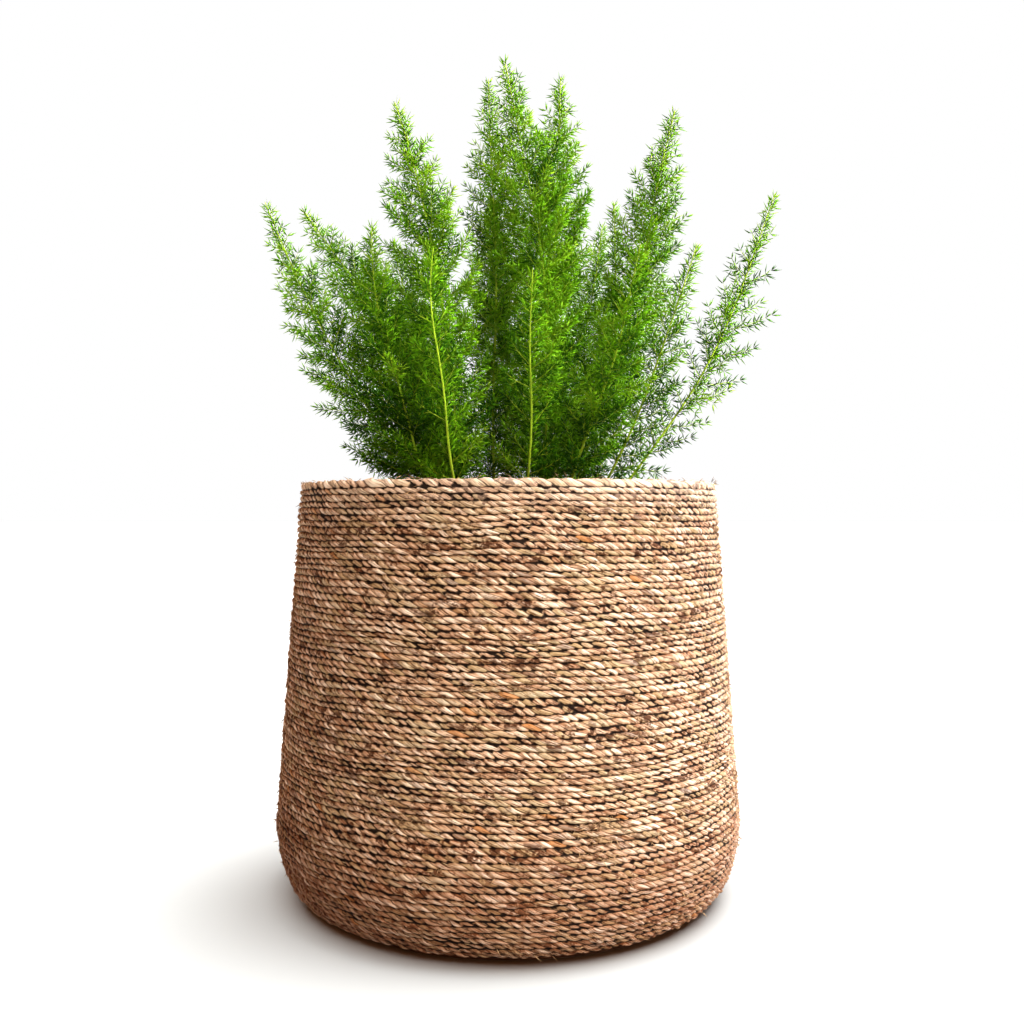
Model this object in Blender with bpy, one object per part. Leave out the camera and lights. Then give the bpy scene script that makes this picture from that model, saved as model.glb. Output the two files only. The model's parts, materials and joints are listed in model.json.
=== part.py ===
"""Foxtail fern growing in a tapered planter wound with twisted seagrass cord.

The planter stands on the XY plane with its axis on Z, and is seen from -Y in its usual view.
A moulded shell carries the cord winding outside and the potting mix inside, and each leafy
stem of the plant stands in a hole of its own in the mix. All lengths are in metres.
"""

import math
import random
from dataclasses import dataclass

import bmesh
import bpy
from mathutils import Matrix, Vector
from mathutils.kdtree import KDTree

GAP = 0.0003
SMOOTH_ANGLE = math.radians(40)

# Planter outline: a straight taper above the belly and a quarter ellipse below it
POT_HEIGHT = 0.344
RIM_RADIUS = 0.178
BELLY_RADIUS = 0.198
BELLY_HEIGHT = 0.064
FOOT_RADIUS = 0.168
ROUND_SEGMENTS = 32

# Winding: a cord layer with ridges larger than life, hooked over the rim of the shell
WINDING_THICKNESS = 0.0055
RIDGE_COUNT = 22
RIDGE_DEPTH = 0.0022
LIP_HEIGHT = 0.0055
LIP_ROUND = 0.002

# Shell: a moulded cup on a base plate whose edge shows below the winding
SHELL_THICKNESS = 0.003
PLATE_RADIUS = 0.1705
PLATE_THICKNESS = 0.004
PLATE_CHAMFER = 0.001
FLOOR_HEIGHT = 0.0075

# Potting mix: a low mound, with a hole for each stem
MIX_TOP = 0.312
MIX_FALL = 0.007
MOUND_RINGS = 3
HOLE_DEPTH = 0.025
HOLE_RADIUS = 0.0023
HOLE_MOUTH = 0.008
HOLE_SIDES = 6

# Leafy stems, three-sided and drawn out ring by ring
SIDES = 3
SIDE_ANGLE = 2 * math.pi / SIDES
STEM_FOOT_RADIUS = 0.0016
STEM_TIP_RADIUS = 0.0009
STEM_STEPS = 24
STEM_SWAY = 0.004
TOP_WHORLS = 3
TOP_WHORL_STEP = 0.0105
TOP_BARE = 0.005

# Side twigs, each a slim core with whorls of needles
TWIGS_PER_STEM = 14
TWIG_ROOT = 0.002
TWIG_RADIUS = 0.0025
TWIG_TIP_RADIUS = 0.0010
TWIG_LEAN = math.radians(52)
TWIG_LEAN_SPREAD = math.radians(7)
TWIG_LONGEST = 0.050
TWIG_SHORTEST = 0.008
TWIG_TAPER = 0.30
TWIG_LOWEST = 0.14
TWIG_WHORLS_MOST = 2
TWIG_WHORL_STEP = 0.017
TWIG_BARE = 0.006
GOLDEN_ANGLE = math.pi * (3 - math.sqrt(5))

# Needles, drawn out of the side faces of a narrow band round a core
NEEDLE_LENGTH = 0.0085
NEEDLE_ROOT = 0.0012
NEEDLE_SPREAD = math.radians(58)

# Room kept between the centre lines of foliage
CLEARANCE = 0.0042
TURN_STEP = math.radians(11)
TURN_TRIES = 24
ROOT_SAMPLES = 6
RIM_ROOM = 0.004
SIDE_ROOM = 0.016
MIX_ROOM = 0.003


@dataclass(frozen=True)
class Stem:
    """Where a stem leaves the mix, the point it bends towards, and its tip."""

    foot: tuple
    bend: tuple
    tip: tuple


STEMS = (
    # Left side, from the outermost plume inwards
    Stem((-0.045, -0.010), (-0.150, -0.015, 0.400), (-0.208, -0.020, 0.583)),
    Stem((-0.035, 0.035), (-0.087, 0.050, 0.481), (-0.192, 0.060, 0.601)),
    Stem((-0.054, -0.030), (-0.108, -0.045, 0.420), (-0.113, -0.050, 0.557)),
    Stem((-0.040, -0.038), (-0.034, -0.045, 0.530), (-0.094, -0.030, 0.665)),
    # Tall middle plumes
    Stem((-0.012, 0.018), (-0.020, 0.030, 0.500), (-0.018, 0.020, 0.705)),
    Stem((0.032, -0.025), (0.034, -0.035, 0.530), (-0.003, -0.010, 0.708)),
    Stem((0.026, 0.025), (0.030, 0.030, 0.500), (0.047, 0.030, 0.711)),
    # Right side, from the middle outwards
    Stem((0.040, 0.050), (0.090, 0.065, 0.450), (0.097, 0.070, 0.610)),
    Stem((0.050, 0.003), (0.103, 0.010, 0.500), (0.145, 0.010, 0.673)),
    Stem((0.066, -0.016), (0.135, -0.060, 0.410), (0.154, -0.060, 0.537)),
    Stem((0.075, 0.012), (0.150, 0.015, 0.410), (0.237, 0.020, 0.603)),
    # Lower plumes that lean to the front
    Stem((-0.030, -0.058), (-0.055, -0.105, 0.420), (-0.075, -0.135, 0.520)),
    Stem((0.005, -0.060), (0.008, -0.110, 0.410), (0.012, -0.150, 0.495)),
    Stem((0.040, -0.056), (0.080, -0.100, 0.420), (0.100, -0.125, 0.520)),
    # Plumes that lean to the back
    Stem((-0.030, 0.058), (-0.085, 0.105, 0.450), (-0.115, 0.130, 0.590)),
    Stem((0.002, 0.056), (-0.010, 0.115, 0.480), (-0.020, 0.150, 0.640)),
    Stem((0.026, 0.072), (0.075, 0.110, 0.470), (0.095, 0.145, 0.610)),
)


def clear_scene():
    """Remove every object that the file starts with."""
    for item in list(bpy.data.objects):
        bpy.data.objects.remove(item, do_unlink=True)


def make_material(name, colour, roughness):
    """Return a plain surface of one linear colour."""
    material = bpy.data.materials.new(name)
    material.use_nodes = True
    surface = material.node_tree.nodes["Principled BSDF"]
    surface.inputs["Base Color"].default_value = (*colour, 1.0)
    surface.inputs["Roughness"].default_value = roughness
    surface.inputs["Metallic"].default_value = 0.0
    material.diffuse_color = (*colour, 1.0)
    return material


def add_object(name, bm, material=None):
    """Put a bmesh into the scene as an object."""
    mesh = bpy.data.meshes.new(name)
    bm.to_mesh(mesh)
    bm.free()
    mesh.shade_smooth()
    mesh.set_sharp_from_angle(angle=SMOOTH_ANGLE)
    if material:
        mesh.materials.append(material)
    item = bpy.data.objects.new(name, mesh)
    bpy.context.scene.collection.objects.link(item)
    return item


# Planter


def side_radius(z, inset=0.0, floor=0.0):
    """Radius of the planter's side at height z, for a skin moved inwards by inset.

    Above the belly the side is straight. Below it a quarter ellipse, centred over the foot,
    ends at the height given as floor.
    """
    if z >= BELLY_HEIGHT:
        rise = (z - BELLY_HEIGHT) / (POT_HEIGHT - BELLY_HEIGHT)
        return BELLY_RADIUS + (RIM_RADIUS - BELLY_RADIUS) * rise - inset
    drop = min(1.0, (BELLY_HEIGHT - z) / (BELLY_HEIGHT - floor))
    return FOOT_RADIUS + (BELLY_RADIUS - FOOT_RADIUS - inset) * math.sqrt(1 - drop * drop)


def side_points(low, high, inset, floor, corner_steps=3, wall_steps=1):
    """Points (r, z) up a skin of the planter, closer together round its lower corner."""
    points = []
    for step in range(corner_steps):
        angle = 0.5 * math.pi * step / corner_steps
        z = BELLY_HEIGHT - (BELLY_HEIGHT - floor) * math.cos(angle)
        points.append((side_radius(max(z, low), inset, floor), max(z, low)))
    for step in range(wall_steps + 1):
        z = BELLY_HEIGHT + (high - BELLY_HEIGHT) * step / wall_steps
        points.append((side_radius(z, inset, floor), z))
    return points


def turned_solid(name, profile, material, closed):
    """Spin a profile of (r, z) points about Z. An open profile starts and ends on the axis."""
    bm = bmesh.new()
    verts = [bm.verts.new((r, 0.0, z)) for r, z in profile]
    edges = [bm.edges.new(pair) for pair in zip(verts, verts[1:])]
    if closed:
        edges.append(bm.edges.new((verts[-1], verts[0])))
    bmesh.ops.spin(
        bm,
        geom=verts + edges,
        cent=(0, 0, 0),
        axis=(0, 0, 1),
        angle=2 * math.pi,
        steps=ROUND_SEGMENTS,
        use_merge=True,
    )
    bmesh.ops.remove_doubles(bm, verts=bm.verts, dist=0.00001)
    bmesh.ops.recalc_face_normals(bm, faces=bm.faces)
    return add_object(name, bm, material)


def build_rope_winding(material):
    """Cord layer: a ridged skin from the base plate up and over the rim of the shell."""
    foot = PLATE_THICKNESS + GAP
    crown = POT_HEIGHT - LIP_HEIGHT * 0.5
    outside = [(side_radius(foot), foot)]
    for ridge in range(RIDGE_COUNT):
        crest = foot + (crown - foot) * (ridge + 0.5) / RIDGE_COUNT
        groove = foot + (crown - foot) * (ridge + 1) / RIDGE_COUNT
        outside.append((side_radius(crest), crest))
        outside.append((side_radius(groove) - RIDGE_DEPTH, groove))
    rim = side_radius(POT_HEIGHT)
    lip_inner = rim - WINDING_THICKNESS - GAP - SHELL_THICKNESS
    lip_under = POT_HEIGHT - LIP_HEIGHT
    top = [(rim - LIP_ROUND / 3, POT_HEIGHT - LIP_ROUND / 2), (rim - LIP_ROUND, POT_HEIGHT)]
    top += [(lip_inner + LIP_ROUND, POT_HEIGHT), (lip_inner, POT_HEIGHT - LIP_ROUND)]
    top.append((lip_inner, lip_under))
    inside = side_points(foot, lip_under, WINDING_THICKNESS, WINDING_THICKNESS)
    return turned_solid("rope_winding", outside + top + inside[::-1], material, closed=True)


def build_pot_shell(material):
    """Moulded cup: a base plate, and a wall that stays just inside the winding."""
    outer_inset = WINDING_THICKNESS + GAP
    inner_inset = outer_inset + SHELL_THICKNESS
    edge = POT_HEIGHT - LIP_HEIGHT - GAP
    neck = FOOT_RADIUS - GAP
    plate = [(0.0, 0.0), (PLATE_RADIUS - PLATE_CHAMFER, 0.0), (PLATE_RADIUS, PLATE_CHAMFER)]
    plate += [(PLATE_RADIUS, PLATE_THICKNESS), (neck, PLATE_THICKNESS)]
    outside = side_points(0.0, edge, outer_inset, outer_inset)
    outside[0] = (neck, outer_inset)
    inside = side_points(0.0, edge, inner_inset, FLOOR_HEIGHT)
    profile = plate + outside + inside[::-1] + [(0.0, FLOOR_HEIGHT)]
    return turned_solid("pot_shell", profile, material, closed=False)


def mix_height(radius):
    """Height of the mound of potting mix at a distance from the axis."""
    edge = side_radius(MIX_TOP, WINDING_THICKNESS + SHELL_THICKNESS)
    return MIX_TOP - MIX_FALL * (radius / edge) ** 2


def build_potting_mix(material, paths):
    """Fill of the shell, with a plain tilted hole where each stem stands."""
    inset = WINDING_THICKNESS + SHELL_THICKNESS + 2 * GAP
    floor = FLOOR_HEIGHT + GAP
    edge_height = mix_height(side_radius(MIX_TOP, inset))
    side = side_points(0.0, edge_height, inset, floor)
    rings = [side[-1][0] * ring / MOUND_RINGS for ring in reversed(range(MOUND_RINGS))]
    mound = [(radius, mix_height(radius)) for radius in rings]
    mix = turned_solid("potting_mix", [(0.0, floor)] + side + mound, material, closed=False)
    holes = bpy.data.collections.new("stem_holes")
    bpy.context.scene.collection.children.link(holes)
    for number, path in enumerate(paths):
        heading = (path[1] - path[0]).normalized()
        length = HOLE_DEPTH + HOLE_MOUTH
        bm = bmesh.new()
        bmesh.ops.create_cone(
            bm,
            cap_ends=True,
            segments=HOLE_SIDES,
            radius1=HOLE_RADIUS,
            radius2=HOLE_RADIUS,
            depth=length,
        )
        middle = path[0] + heading * (0.5 * length - GAP)
        bm.transform(Matrix.Translation(middle) @ heading.to_track_quat("Z", "Y").to_matrix().to_4x4())
        cutter = add_object(f"hole_{number:02d}", bm)
        bpy.context.scene.collection.objects.unlink(cutter)
        holes.objects.link(cutter)
    cut_away(mix, holes)
    return mix


def cut_away(item, collection):
    """Cut a collection's objects out of an object, then remove them."""
    cut = item.modifiers.new("Cut", "BOOLEAN")
    cut.operation = "DIFFERENCE"
    cut.operand_type = "COLLECTION"
    cut.collection = collection
    depsgraph = bpy.context.evaluated_depsgraph_get()
    item.data = bpy.data.meshes.new_from_object(item.evaluated_get(depsgraph))
    item.modifiers.clear()
    for part in list(collection.objects):
        bpy.data.objects.remove(part, do_unlink=True)
    bpy.data.collections.remove(collection)


# Plant


def stem_path(stem, number):
    """Centre points of a stem, from the buried end to the tip, in even steps of its curve.

    The curve is a quadratic from the foot to the tip, pulled towards the bend, with a slight
    sideways sway. The buried end carries on straight from the foot.
    """
    foot = Vector((*stem.foot, mix_height(math.hypot(*stem.foot))))
    bend = Vector(stem.bend)
    tip = Vector(stem.tip)
    sideways = (tip - foot).cross(Vector((math.cos(number), math.sin(number), 0))).normalized()
    points = []
    for step in range(STEM_STEPS + 1):
        part = step / STEM_STEPS
        point = foot * (1 - part) ** 2 + bend * (2 * part * (1 - part)) + tip * part * part
        point += sideways * STEM_SWAY * math.sin(math.pi * part) * math.sin(2 * math.pi * part + number)
        points.append(point)
    heading = (points[1] - points[0]).normalized()
    return [foot - heading * (HOLE_DEPTH - GAP)] + points


def path_length(path):
    """Length of a broken line of points."""
    return sum((b - a).length for a, b in zip(path, path[1:]))


def point_at(path, distance):
    """Point and heading at a distance along a broken line of points."""
    for a, b in zip(path, path[1:]):
        span = (b - a).length
        if distance <= span or b is path[-1]:
            return a.lerp(b, distance / span), (b - a).normalized()
        distance -= span


def across(heading, guide, angle):
    """Unit vector at right angles to a heading, turned by angle from the guide's side."""
    side = (guide - heading * guide.dot(heading)).normalized()
    return side * math.cos(angle) + heading.cross(side) * math.sin(angle)


def place_ring(corners, centre, heading, guide, radius, turn):
    """Move a face's corners to a ring round a centre."""
    for number, corner in enumerate(corners):
        corner.co = centre + across(heading, guide, turn + number * SIDE_ANGLE) * radius


def start_core(bm, path, guide, radius, distance, turn):
    """First length of a core, closed at its foot. Returns the face at its end."""
    low = [bm.verts.new() for _ in range(SIDES)]
    high = [bm.verts.new() for _ in range(SIDES)]
    place_ring(low, *point_at(path, 0.0), guide, radius, turn)
    place_ring(high, *point_at(path, distance), guide, radius, turn)
    bm.faces.new(low[::-1])
    for number in range(SIDES):
        after = (number + 1) % SIDES
        bm.faces.new((low[number], low[after], high[after], high[number]))
    return bm.faces.new(high)


def extend_core(bm, face, centre, heading, guide, radius, turn):
    """Extrude a core's end face to a new ring. Returns the new end and the new sides.

    Side number n faces the direction halfway from corner n to the next.
    """
    end = bmesh.ops.extrude_discrete_faces(bm, faces=[face])["faces"][0]
    place_ring(end.verts, centre, heading, guide, radius, turn)
    sides = [next(side for side in edge.link_faces if side is not end) for edge in end.edges]
    return end, sides


def draw_point(bm, face, place):
    """Poke a face and draw its new corner out to a place."""
    bmesh.ops.poke(bm, faces=[face])["verts"][0].co = place


def needle_direction(heading, guide, angle):
    """Direction of a needle that leans off a core towards its end."""
    return across(heading, guide, angle) * math.sin(NEEDLE_SPREAD) + heading * math.cos(NEEDLE_SPREAD)


def grow_whorl(bm, face, path, guide, distance, radius, turn):
    """A narrow band with a needle on each side. Returns the new end of the core."""
    centre, heading = point_at(path, distance - NEEDLE_ROOT / 2)
    face, _sides = extend_core(bm, face, centre, heading, guide, radius, turn)
    centre, heading = point_at(path, distance + NEEDLE_ROOT / 2)
    face, sides = extend_core(bm, face, centre, heading, guide, radius, turn)
    for number, side in enumerate(sides):
        lean = needle_direction(heading, guide, turn + (number + 0.5) * SIDE_ANGLE)
        draw_point(bm, side, side.calc_center_median() + lean * NEEDLE_LENGTH)
    return face


@dataclass(frozen=True)
class Twig:
    """A straight side twig: where it leaves its stem, and how it stands."""

    place: float
    root: Vector
    stem_heading: Vector
    azimuth: float
    direction: Vector
    length: float

    @property
    def path(self):
        """Centre line from the stem's centre to the twig's end."""
        return [self.root, self.root + self.direction * self.length]

    @property
    def whorls(self):
        """Distances of the whorls from the root."""
        count = min(TWIG_WHORLS_MOST, max(1, round(self.length / TWIG_WHORL_STEP)))
        step = (self.length - TWIG_BARE) / count
        return [self.length - TWIG_BARE - step * number for number in reversed(range(count))]

    def whorl_turn(self, number):
        """Turn of a whorl's first corner, half a side on from the last whorl's."""
        return (number + 1) * SIDE_ANGLE / 2

    def lines(self):
        """Centre lines of the twig and its needles, for the clearance test."""
        lines = [tuple(self.path)]
        for number, distance in enumerate(self.whorls):
            centre = self.root + self.direction * distance
            for side in range(SIDES):
                angle = self.whorl_turn(number) + (side + 0.5) * SIDE_ANGLE
                lean = needle_direction(self.direction, self.stem_heading, angle)
                lines.append((centre, centre + lean * NEEDLE_LENGTH))
        return lines


def sample_lines(lines, step=0.001):
    """Points spaced evenly along straight lines."""
    points = []
    for a, b in lines:
        count = max(1, math.ceil((b - a).length / step))
        points += [a.lerp(b, index / count) for index in range(count + 1)]
    return points


def fill_tree(points):
    """Search tree over points."""
    tree = KDTree(max(1, len(points)))
    for index, point in enumerate(points):
        tree.insert(point, index)
    tree.balance()
    return tree


def is_clear(points, trees):
    """Whether the points keep clear of other foliage, of the planter and of the mix."""
    for point in points:
        radius = math.hypot(point.x, point.y)
        if point.z < POT_HEIGHT + RIM_ROOM and radius > RIM_RADIUS - SIDE_ROOM:
            return False
        if radius < RIM_RADIUS and point.z < mix_height(radius) + MIX_ROOM:
            return False
        for tree in trees:
            distance = tree.find(point)[2]
            if distance is not None and distance < CLEARANCE:
                return False
    return True


def plan_twigs(path, number, trees):
    """Choose a stem's side twigs, each turned about the stem until it stands clear."""
    chance = random.Random(number)
    total = path_length(path)
    lowest = HOLE_DEPTH + TWIG_LOWEST * total
    highest = total - TOP_BARE - TOP_WHORL_STEP * TOP_WHORLS
    guide = (path[1] - path[0]).orthogonal()
    first = chance.uniform(0, 2 * math.pi)
    twigs = []
    own = []
    for index in range(TWIGS_PER_STEM):
        place = lowest + (highest - lowest) * index / (TWIGS_PER_STEM - 1)
        lean = TWIG_LEAN + chance.uniform(-1, 1) * TWIG_LEAN_SPREAD
        reach = TWIG_SHORTEST + TWIG_TAPER * (total - place)
        length = min(TWIG_LONGEST, reach) * chance.uniform(0.9, 1.1)
        root, heading = point_at(path, place)
        for attempt in range(TURN_TRIES):
            turn = TURN_STEP * ((attempt + 1) // 2) * (-1) ** attempt
            azimuth = first + GOLDEN_ANGLE * index + turn
            outwards = across(heading, guide, azimuth)
            direction = outwards * math.sin(lean) + heading * math.cos(lean)
            twig = Twig(place, root, heading, azimuth, direction, length)
            samples = sample_lines(twig.lines())[ROOT_SAMPLES:]
            if is_clear(samples, (*trees, fill_tree(own))):
                twigs.append(twig)
                own += samples
                break
    return twigs


def nearest_turn(wanted, last):
    """Turn that puts the corners as the wanted one does and is nearest to the last."""
    return last + (wanted - last + SIDE_ANGLE / 2) % SIDE_ANGLE - SIDE_ANGLE / 2


def grow_twig(bm, face, twig):
    """Draw a twig out of a face of its stem, with its whorls of needles and its point."""
    first = face.verts[0].co - face.calc_center_median()
    sideways = across(twig.direction, twig.stem_heading, math.pi / 2)
    upwards = across(twig.direction, twig.stem_heading, 0.0)
    start = math.atan2(first.dot(sideways), first.dot(upwards))
    for number, distance in enumerate(twig.whorls):
        part = distance / twig.length
        radius = TWIG_RADIUS + (TWIG_TIP_RADIUS - TWIG_RADIUS) * part
        turn = nearest_turn(twig.whorl_turn(number), start)
        face = grow_whorl(bm, face, twig.path, twig.stem_heading, distance, radius, turn)
        start = turn
    draw_point(bm, face, twig.path[-1])


def build_stem(number, path, material, trees):
    """One leafy stem as a single solid. Returns the points of its foliage."""
    twigs = plan_twigs(path, number, trees)
    total = path_length(path)
    guide = (path[1] - path[0]).orthogonal()
    bm = bmesh.new()
    turn = 0.0
    face = start_core(bm, path, guide, STEM_FOOT_RADIUS, HOLE_DEPTH, turn)
    roots = []
    for twig in twigs:
        part = twig.place / total
        radius = STEM_FOOT_RADIUS + (STEM_TIP_RADIUS - STEM_FOOT_RADIUS) * part
        turn = nearest_turn(twig.azimuth - SIDE_ANGLE / 2, turn)
        for distance in (twig.place - TWIG_ROOT / 2, twig.place + TWIG_ROOT / 2):
            centre, heading = point_at(path, distance)
            face, sides = extend_core(bm, face, centre, heading, guide, radius, turn)
        side = round((twig.azimuth - turn) / SIDE_ANGLE - 0.5) % SIDES
        roots.append((sides[side], twig))
    for whorl in reversed(range(TOP_WHORLS)):
        turn += SIDE_ANGLE / 2
        distance = total - TOP_BARE - TOP_WHORL_STEP * whorl
        face = grow_whorl(bm, face, path, guide, distance, STEM_TIP_RADIUS, turn)
    draw_point(bm, face, path[-1])
    for side, twig in roots:
        halves = bmesh.ops.triangulate(bm, faces=[side])["faces"]
        grow_twig(bm, halves[0], twig)
    bmesh.ops.triangulate(bm, faces=bm.faces, quad_method="SHORT_EDGE")
    add_object(f"stem_{number + 1:02d}", bm, material)
    return sample_lines([line for twig in twigs for line in twig.lines()])


def build_plant(paths, material):
    """All the leafy stems, each grown clear of the others."""
    cores = [sample_lines(zip(path, path[1:])) for path in paths]
    foliage = []
    for number, path in enumerate(paths):
        others = [point for index, core in enumerate(cores) if index != number for point in core]
        foliage += build_stem(number, path, material, (fill_tree(others), fill_tree(foliage)))


def main():
    """Build the planter, its fill and the plant."""
    clear_scene()
    cord = make_material("seagrass_cord", (0.450, 0.285, 0.170), 0.85)
    moulding = make_material("brown_moulding", (0.165, 0.085, 0.042), 0.6)
    earth = make_material("potting_mix", (0.045, 0.028, 0.018), 0.95)
    leaf = make_material("fern_green", (0.130, 0.300, 0.030), 0.55)
    paths = [stem_path(stem, number) for number, stem in enumerate(STEMS)]
    build_rope_winding(cord)
    build_pot_shell(moulding)
    build_potting_mix(earth, paths)
    build_plant(paths, leaf)


main()
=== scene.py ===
"""Looks of a foxtail fern that grows in a planter wound with twisted seagrass cord.

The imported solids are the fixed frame. Every one of them is stood for by a finer piece here: the
cord winding as turns of two-ply cord, the moulded shell, the potting mix with its crumbs, and
each leafy stem with its twigs and needles. All lengths are in metres, Z is up, and the usual
view is from -Y.
"""

import json
import logging
import math
import random
from dataclasses import dataclass, field
from enum import Enum

import bpy
import numpy as np
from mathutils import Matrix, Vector

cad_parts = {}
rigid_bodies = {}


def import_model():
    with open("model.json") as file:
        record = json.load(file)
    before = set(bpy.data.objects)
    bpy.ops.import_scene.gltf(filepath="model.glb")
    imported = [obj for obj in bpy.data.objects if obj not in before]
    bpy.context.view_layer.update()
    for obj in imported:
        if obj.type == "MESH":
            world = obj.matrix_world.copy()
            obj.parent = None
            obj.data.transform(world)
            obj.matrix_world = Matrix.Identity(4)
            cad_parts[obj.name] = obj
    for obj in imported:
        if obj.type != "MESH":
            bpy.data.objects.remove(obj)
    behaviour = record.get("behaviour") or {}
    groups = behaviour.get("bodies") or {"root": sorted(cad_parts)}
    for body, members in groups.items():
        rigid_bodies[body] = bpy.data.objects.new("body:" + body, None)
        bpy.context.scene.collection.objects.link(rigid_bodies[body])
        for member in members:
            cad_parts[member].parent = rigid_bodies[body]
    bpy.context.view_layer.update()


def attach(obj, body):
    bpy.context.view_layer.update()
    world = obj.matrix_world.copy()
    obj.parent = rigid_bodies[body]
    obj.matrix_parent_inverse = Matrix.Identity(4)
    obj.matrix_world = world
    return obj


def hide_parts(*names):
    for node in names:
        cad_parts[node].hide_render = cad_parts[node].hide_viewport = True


LOG = logging.getLogger("foxtail_fern")
BODY = "root"
GOLDEN_ANGLE = math.pi * (3 - math.sqrt(5))

Colour = tuple[float, float, float]
Array = np.ndarray
Chance = np.random.Generator
Material = bpy.types.Material


def srgb(*shares: int) -> Colour:
    """Turn a display colour into a linear one.

    Args:
        shares: Red, green and blue, from 0 to 255.

    Returns:
        The linear colour, each share from 0 to 1.
    """
    share = np.array(shares) / 255
    linear = np.where(share <= 0.04045, share / 12.92, ((share + 0.055) / 1.055) ** 2.4)
    return tuple(float(part) for part in linear)


# Shader expressions


class Sock:
    """A node's output that takes part in Python expressions, each adding a Math node."""

    def __init__(self, maker: "MaterialMaker", socket: bpy.types.NodeSocket) -> None:
        """Keep the output and the maker of its material."""
        self.maker = maker
        self.socket = socket

    def math(self, operation: str, *others: "Sock | float") -> "Sock":
        """Math node with this value as its first operand and the others after it."""
        return self.maker.math(operation, self, *others)

    def __add__(self, other: "Sock | float") -> "Sock":
        """Sum of two values."""
        return self.math("ADD", other)

    __radd__ = __add__

    def __mul__(self, other: "Sock | float") -> "Sock":
        """Product of two values."""
        return self.math("MULTIPLY", other)

    __rmul__ = __mul__

    def __sub__(self, other: "Sock | float") -> "Sock":
        """This value less the other."""
        return self.math("SUBTRACT", other)

    def __rsub__(self, other: float) -> "Sock":
        """The other value less this one."""
        return self.maker.math("SUBTRACT", other, self)

    def floor(self) -> "Sock":
        """Whole number at or below the value."""
        return self.math("FLOOR")

    def fract(self) -> "Sock":
        """What is left of the value above its whole number."""
        return self.math("FRACT")

    def size(self) -> "Sock":
        """Value without its sign."""
        return self.math("ABSOLUTE")

    def ramp(self, low: float, high: float) -> "Sock":
        """Rise smoothly from 0 at the low value to 1 at the high one."""
        inputs = {"Value": self, "From Min": low, "From Max": high}
        return self.maker.add("ShaderNodeMapRange", {"interpolation_type": "SMOOTHSTEP"}, inputs)


class MaterialMaker:
    """Adds the nodes of one material round its Principled surface."""

    def __init__(self, name: str) -> None:
        """Start a material that has only its surface and its output.

        Args:
            name: The material's name.
        """
        self.material = bpy.data.materials.new(name)
        self.material.use_nodes = True
        self.tree = self.material.node_tree
        self.surface = self.tree.nodes["Principled BSDF"]

    def connect(self, socket: bpy.types.NodeSocket, value: object) -> None:
        """Link a socket to an output, or set it to a constant.

        Args:
            socket: The input to fill.
            value: An output, a number, a colour or a vector.
        """
        if isinstance(value, Sock):
            self.tree.links.new(value.socket, socket)
        elif socket.type == "RGBA":
            socket.default_value = (*value, 1.0)
        else:
            socket.default_value = value

    def add(self, kind: str, settings: dict, inputs: dict, output: int | str = 0) -> Sock:
        """Add a node of any type.

        Args:
            kind: The node's type.
            settings: Properties of the node, set before its sockets are.
            inputs: Value or link of each socket, by name or number.
            output: Name or number of the output that is wanted.

        Returns:
            That output.
        """
        node = self.tree.nodes.new(kind)
        for key, value in settings.items():
            setattr(node, key, value)
        for key, value in inputs.items():
            self.connect(node.inputs[key], value)
        return Sock(self, node.outputs[output])

    def math(self, operation: str, *operands: Sock | float) -> Sock:
        """Math node on values or links."""
        return self.add("ShaderNodeMath", {"operation": operation}, dict(enumerate(operands)))

    def mix(self, share: Sock | float, first: Sock | Colour, second: Sock | Colour) -> Sock:
        """Blend of two colours, with the share that the second has."""
        settings = {"data_type": "RGBA", "clamp_factor": True}
        return self.add("ShaderNodeMix", settings, {0: share, 6: first, 7: second}, 2)

    def vector(self, x: Sock | float, y: Sock | float, z: Sock | float) -> Sock:
        """Vector made of three values."""
        return self.add("ShaderNodeCombineXYZ", {}, {"X": x, "Y": y, "Z": z})

    def part(self, vector: Sock, axis: str) -> Sock:
        """The X, Y or Z of a vector."""
        return self.add("ShaderNodeSeparateXYZ", {}, {"Vector": vector}, axis)

    def place(self) -> Sock:
        """Place of the shaded point in the object's own metres."""
        return self.add("ShaderNodeTexCoord", {}, {}, "Object")

    def value(self, name: str) -> Sock:
        """Number that the mesh stores for each of its points."""
        return self.add("ShaderNodeAttribute", {"attribute_name": name}, {}, "Fac")

    def noise(self, where: Sock, scale: float, detail: float = 2.0, rough: float = 0.5) -> Sock:
        """Smooth noise from 0 to 1, with its waves per unit and how its finer layers are."""
        inputs = {"Vector": where, "Scale": scale, "Detail": detail, "Roughness": rough}
        return self.add("ShaderNodeTexNoise", {}, inputs, "Fac")

    def cell_value(self, where: Sock) -> Sock:
        """One random value from 0 to 1 for each vector, the same each time."""
        return self.add("ShaderNodeTexWhiteNoise", {"noise_dimensions": "3D"}, {"Vector": where})

    def bump(self, height: Sock, distance: float, strength: float) -> Sock:
        """Normal tilted as a height pattern asks, with its depth and the share that is kept."""
        inputs = {"Height": height, "Distance": distance, "Strength": strength}
        return self.add("ShaderNodeBump", {}, inputs)

    def finish(self, inputs: dict[str, object]) -> Material:
        """Fill the surface's own sockets.

        Args:
            inputs: Constant or link of each socket, by name.

        Returns:
            The finished material.
        """
        for key, value in inputs.items():
            self.connect(self.surface.inputs[key], value)
        return self.material


# Meshes


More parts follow.
